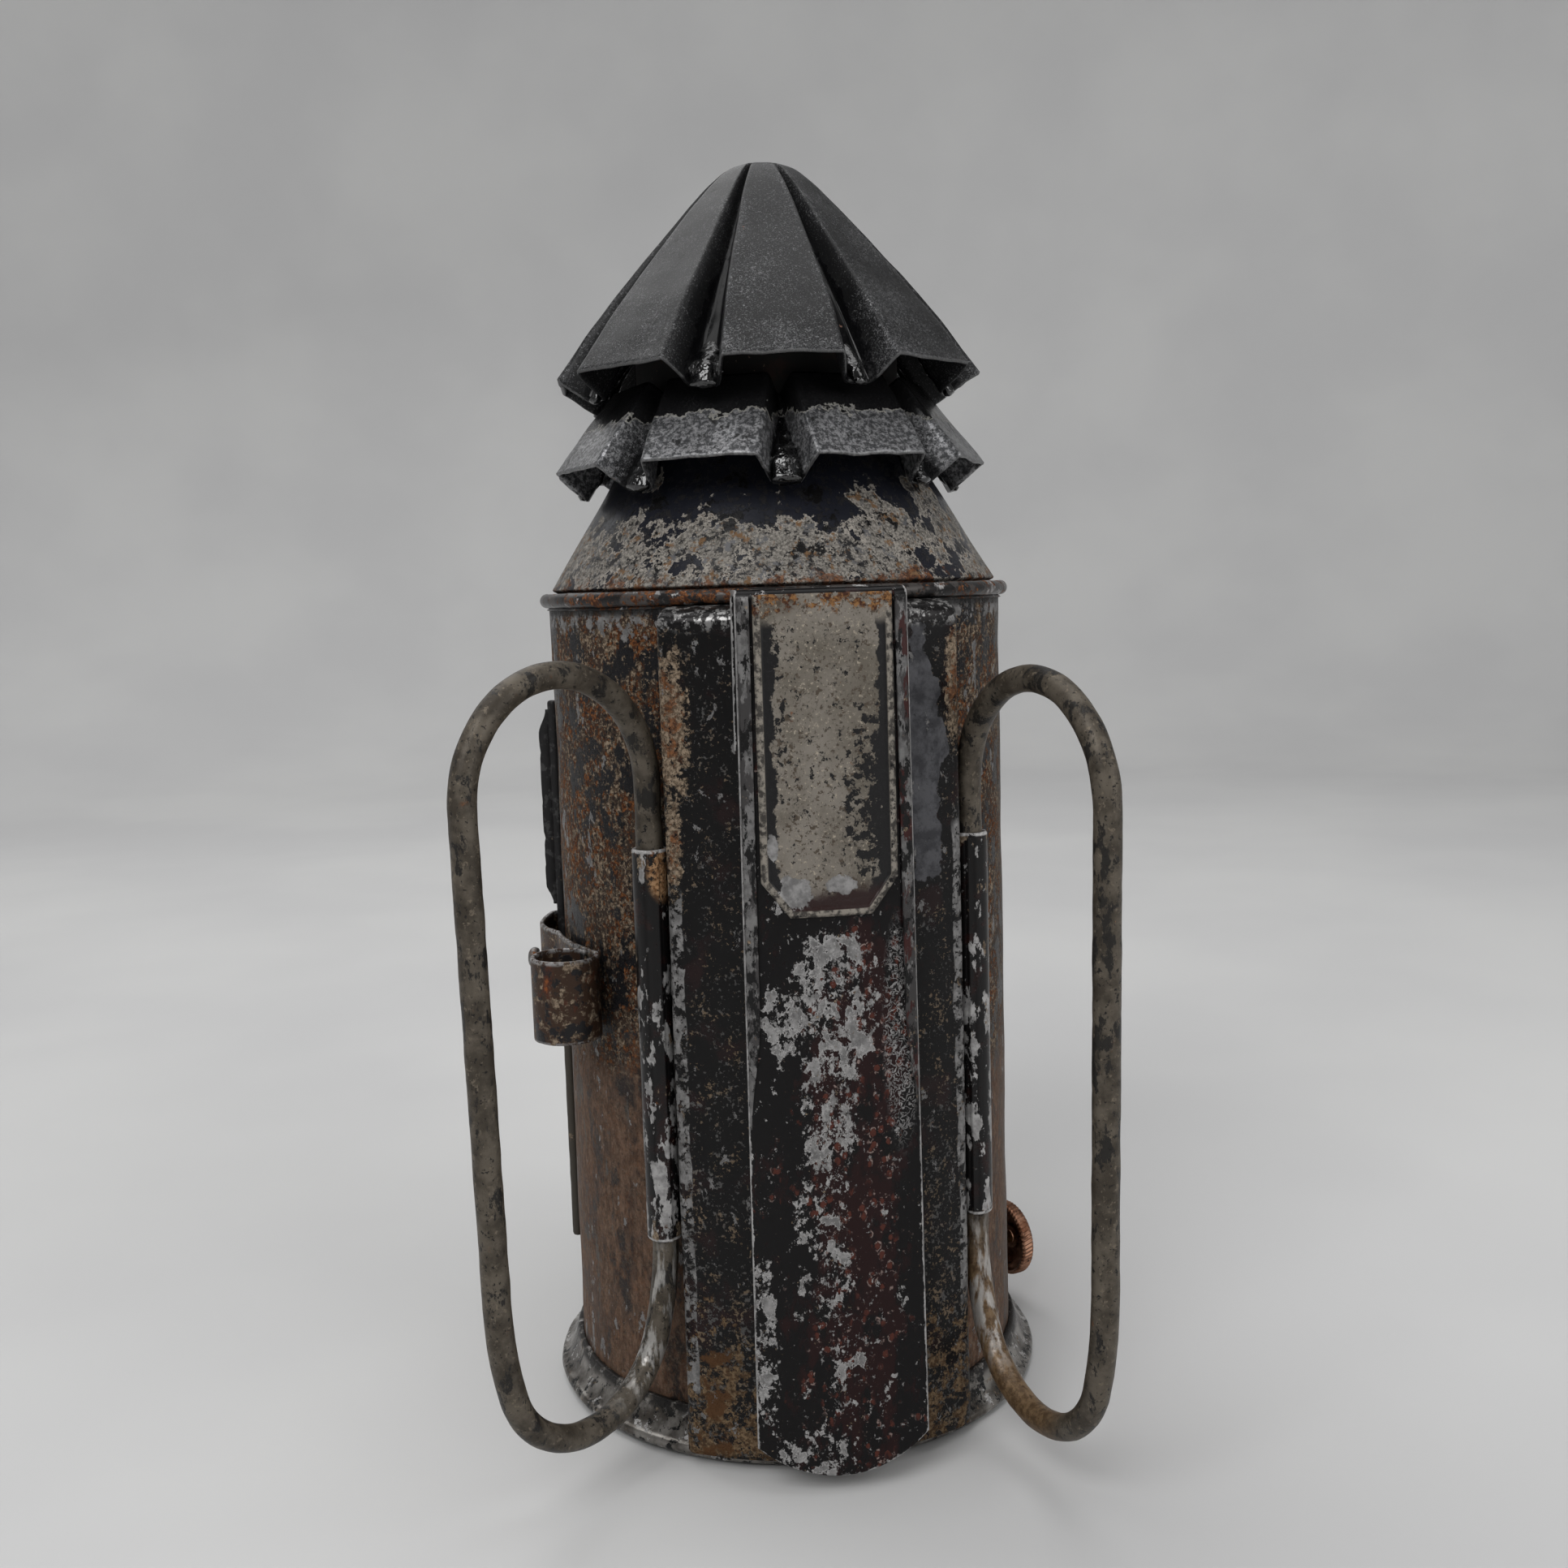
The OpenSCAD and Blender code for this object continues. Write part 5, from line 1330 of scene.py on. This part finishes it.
stud_out = polar(STUD_ANGLE, 1.0, 0.0)
stud_r = DOOR_R + SHEET + 2.3 + CATCH_SHEET + 0.6
stud_profile = rounded([(0.02, 0.0), (1.55, 0.0), (1.75, 0.25), (1.9, 0.75), (1.75, 1.25),
                        (1.2, 1.75), (0.02, 1.95)], 0.3, 3)
turned("catch_stud_domed", stud_out * stud_r + UP * (CATCH_Z0 + CATCH_Z1) / 2, stud_out,
       stud_profile, 48, make_steel(), "catch", replaces=["catch_stud"], slot="rusted_spring")


def build_door_edge():
    """The door's free edge: a wired bead, and above the catch a rough flange bent outward."""
    radial, across = directions(math.radians(90 - DOOR_EDGE_ANGLE))
    low, top = DOOR_LOW_Z, DOOR_TOP_Z
    z = np.r_[low, low + 0.15, low + 0.5, np.linspace(20, 116, 110), top - 0.5, top - 0.15, top]
    turn = np.radians(np.linspace(0, 360, 24, endpoint=False))
    size = np.full(len(z), 0.97)
    size[[0, -1]], size[[1, -2]] = 0.55, 0.85
    circle = np.cos(turn)[None, :, None] * radial + np.sin(turn)[None, :, None] * across
    middle = radial * DOOR_EDGE_R + UP * z[:, None, None]
    grid = middle + size[:, None, None] * circle
    lump = 1 + np.minimum(wobble(grid, 3.0, 81) * 0.07 - 0.03, 0)
    grid = middle + (grid - middle) * lump[..., None]
    paint = make_door_edge()
    grid_piece("door_edge_bead", grid, paint, "door", wrap_v=True, caps=True,
               replaces=["door_edge"],
               slot="japanned_tinplate")
    z = np.linspace(FLANGE_LOW_Z, FLANGE_TOP_Z, 60)
    reach = 1.6 + 1.2 * step(z, FLANGE_LOW_Z, 84) - 1.4 * step(z, 111, FLANGE_TOP_Z)
    section = np.array([(0.1, -0.36), (0.1, 0.36), (0.72, 0.38), (0.94, 0.32), (1.0, 0.0),
                        (0.94, -0.32), (0.72, -0.38)])
    out = DOOR_EDGE_R + section[None, :, 0] * reach[:, None]
    grid = out[..., None] * radial + section[None, :, 1, None] * across + UP * z[:, None, None]
    bent = wobble(grid, 5.0, 83) * 0.16
    torn = np.clip(wobble(grid, 2.2, 84), 0, 1) * 0.35 * (section[None, :, 0] > 0.9)
    grid = grid + across * bent[..., None] - radial * torn[..., None]
    grid_piece("door_edge_flange", grid, paint, "door", wrap_v=True, caps=True,
               slot="japanned_tinplate")


build_door_edge()

# Winder knob -----------------------------------------------------------------------------

knob_profile = dense(rounded([
    (1.25, 1.72), (2.2, 1.7), (2.2, 2.6), (4.4, 2.9), (6.0, 1.0), (6.1, 0.05), (6.55, 0.0),
    (6.85, 0.35), (6.85, 2.25),
    (5.9, 2.8), (4.8, 3.55), (1.25, 3.6)], [0.1, 0.1, 0.3, 0.6, 0.4, 0.2, 0.2, 0.25, 0.4, 0.4, 0.3,
                                            0.1], 3), 0.35)


def rope(turn, r, t):
    """Slanting ridges round the rim, like a rope."""
    on_rim = step(r, 6.35, 6.7)
    return r - on_rim * (0.13 - 0.13 * np.cos(54 * turn + 2.4 * t))


turned("winder_knob_milled", WINDER_CENTRE + WINDER_OUT * KNOB_T, WINDER_OUT, knob_profile, 432,
       make_knob(), "winder",
       knurl=rope, replaces=["wick_knob"], slot="knob_copper")

# Materials of the CAD nodes that stay ----------------------------------------------------

japan = make_japan("japanned_worn", 3.0, 0.0)
door_paint = make_japan("door_japanned", 17.0, -0.01)
tinplate = make_tinplate("inside_tinplate", 5.0)
soot = make_japan("sooted_black", 31.0, -0.05, (0.006, 0.0057, 0.0055), 0.6)
brass = make_brass()
steel = make_steel()
silver = make_silver()
KEPT = {
    "base_pan": (tinplate, 0.2), "body_knuckles": (japan, 0.25), "hinge_pin": (steel, 0.15),
    "door_panel": (door_paint, 0.25),
    "door_knuckles": (japan, 0.25), "lens_barrel": (door_paint, 0.2), "lens_bezel": (brass, 0.2),
    "lens": (make_glass(), 0),
    "lens_retainer": (brass, 0.15), "clip_rivets": (steel, 0.15), "neck_tube": (soot, 0.15),
    "cap_legs": (soot, 0.12),
    "dark_shutter": (soot, 0.15), "oil_font": (make_brass("font_brass", 7.0, 0.06), 0.2),
    "font_filler_cap": (brass, 0.2),
    "burner_collar": (brass, 0.12), "wick_tube": (make_brass("burner_brass", 12.0, 0.03), 0.12),
    "wick": (make_cotton(), 0.15),
    "winder_spindle": (brass, 0.1), "star_wheels": (brass, 0.06), "spindle_bush": (brass, 0.12),
    "reflector": (silver, 0.1),
    "reflector_stem": (tinplate, 0.12),
}
for node, (surface, width) in KEPT.items():
    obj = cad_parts[node]
    obj.data.materials.clear()
    obj.data.materials.append(surface)
    if width:
        bevel(obj, width, 2, 40)

# Floor, light and camera -----------------------------------------------------------------


def build_floor():
    """A pale floor that curves up into a backdrop all round."""
    s = Surface("floor_pale", (0.59, 0.59, 0.59), 0.75, 0.0, grain=0.0)
    s.colour = s.mottle(160, 3, 0.5, 1, 0.3, 0.7, (0.575, 0.575, 0.577), (0.625, 0.625, 0.621))
    s.height = s.noise(3.0, 4, 0.6, seed=2) * 0.02
    bend = [(r, 0.0) for r in np.linspace(1, FLAT_R, 16)]
    bend += [(FLAT_R + BEND_R * math.sin(t), BEND_R - BEND_R * math.cos(t))
             for t in np.radians(np.linspace(5, 90, 18))]
    bend += [(FLAT_R + BEND_R, z) for z in np.linspace(BEND_R + 100, WALL_TOP, 8)]
    bend = np.array(bend)
    turn = np.linspace(0, 360, 96, endpoint=False)
    grid = polar(turn[None, :], bend[:, :1], bend[:, 1:])
    # the wall keeps further away on the side of the camera, where the lights stand
    grid[..., 1] += WALL_SHIFT * np.clip(bend[:, :1] / FLAT_R, 0, 1)
    mesh = bpy.data.meshes.new("floor")
    mesh.from_pydata([tuple(p * MM) for p in grid.reshape(-1, 3)], [],
                     grid_faces(*grid.shape[:2], False, True))
    mesh.shade_smooth()
    mesh.materials.append(s.done())
    floor = bpy.data.objects.new("floor", mesh)
    scene.collection.objects.link(floor)
    floor.location.z = -0.0002
    floor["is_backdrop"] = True


build_floor()


def area_light(name, position, target_z, size, power):
    """A square soft light that faces a point on the lantern's axis; metres and watts."""
    data = bpy.data.lights.new(name, "AREA")
    data.shape = "RECTANGLE"
    data.size = data.size_y = size
    data.energy = power
    light = bpy.data.objects.new(name, data)
    scene.collection.objects.link(light)
    light.location = position
    light.rotation_mode = "QUATERNION"
    light.rotation_quaternion = (Vector((0, 0, target_z)) - Vector(position)).to_track_quat("-Z",
        "Y")


area_light("key_soft", (0.55, 0.75, 0.95), 0.1, 0.7, 7.9)
area_light("fill_soft", (-0.75, 0.65, 0.55), 0.1, 0.8, 4.0)
area_light("top_soft", (0.0, -0.1, 1.25), 0.0, 1.1, 6.2)
area_light("front_soft", (0.3, -0.65, 0.9), 0.1, 0.8, 2.6)
world = bpy.data.worlds.new("studio")
scene.world = world
world.use_nodes = True
world.node_tree.nodes["Background"].inputs[0].default_value = (1.0, 1.0, 1.0, 1.0)
world.node_tree.nodes["Background"].inputs[1].default_value = 0.035

# The camera stands behind the lantern, a little to the left and above, and leans a little
AZIMUTH, DISTANCE, HEIGHT = math.radians(8.0), 0.27143, 0.13475
PITCH, YAW, ROLL = math.radians(6.954), math.radians(-0.163), math.radians(-1.789)
ahead = Vector((math.sin(YAW) * math.cos(PITCH), -math.cos(YAW) * math.cos(PITCH),
                -math.sin(PITCH)))
right = Vector((-math.cos(YAW), -math.sin(YAW), 0))
up = right.cross(ahead)
right, up = math.cos(ROLL) * right + math.sin(ROLL) * up, math.cos(ROLL) * up - math.sin(
    ROLL) * right
around = Matrix.Rotation(-AZIMUTH, 3, "Z")
data = bpy.data.cameras.new("camera")
data.sensor_width = 36.0
data.lens = 36.22
data.clip_start, data.clip_end = 0.01, 20.0
camera = bpy.data.objects.new("camera", data)
scene.collection.objects.link(camera)
camera.matrix_world = Matrix.LocRotScale(
    around @ Vector((0, DISTANCE, HEIGHT)),
    Matrix([around @ right, around @ up, around @ -ahead]).transposed(),
    None,
)
scene.camera = camera
scene.view_settings.view_transform = "Standard"

low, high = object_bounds()
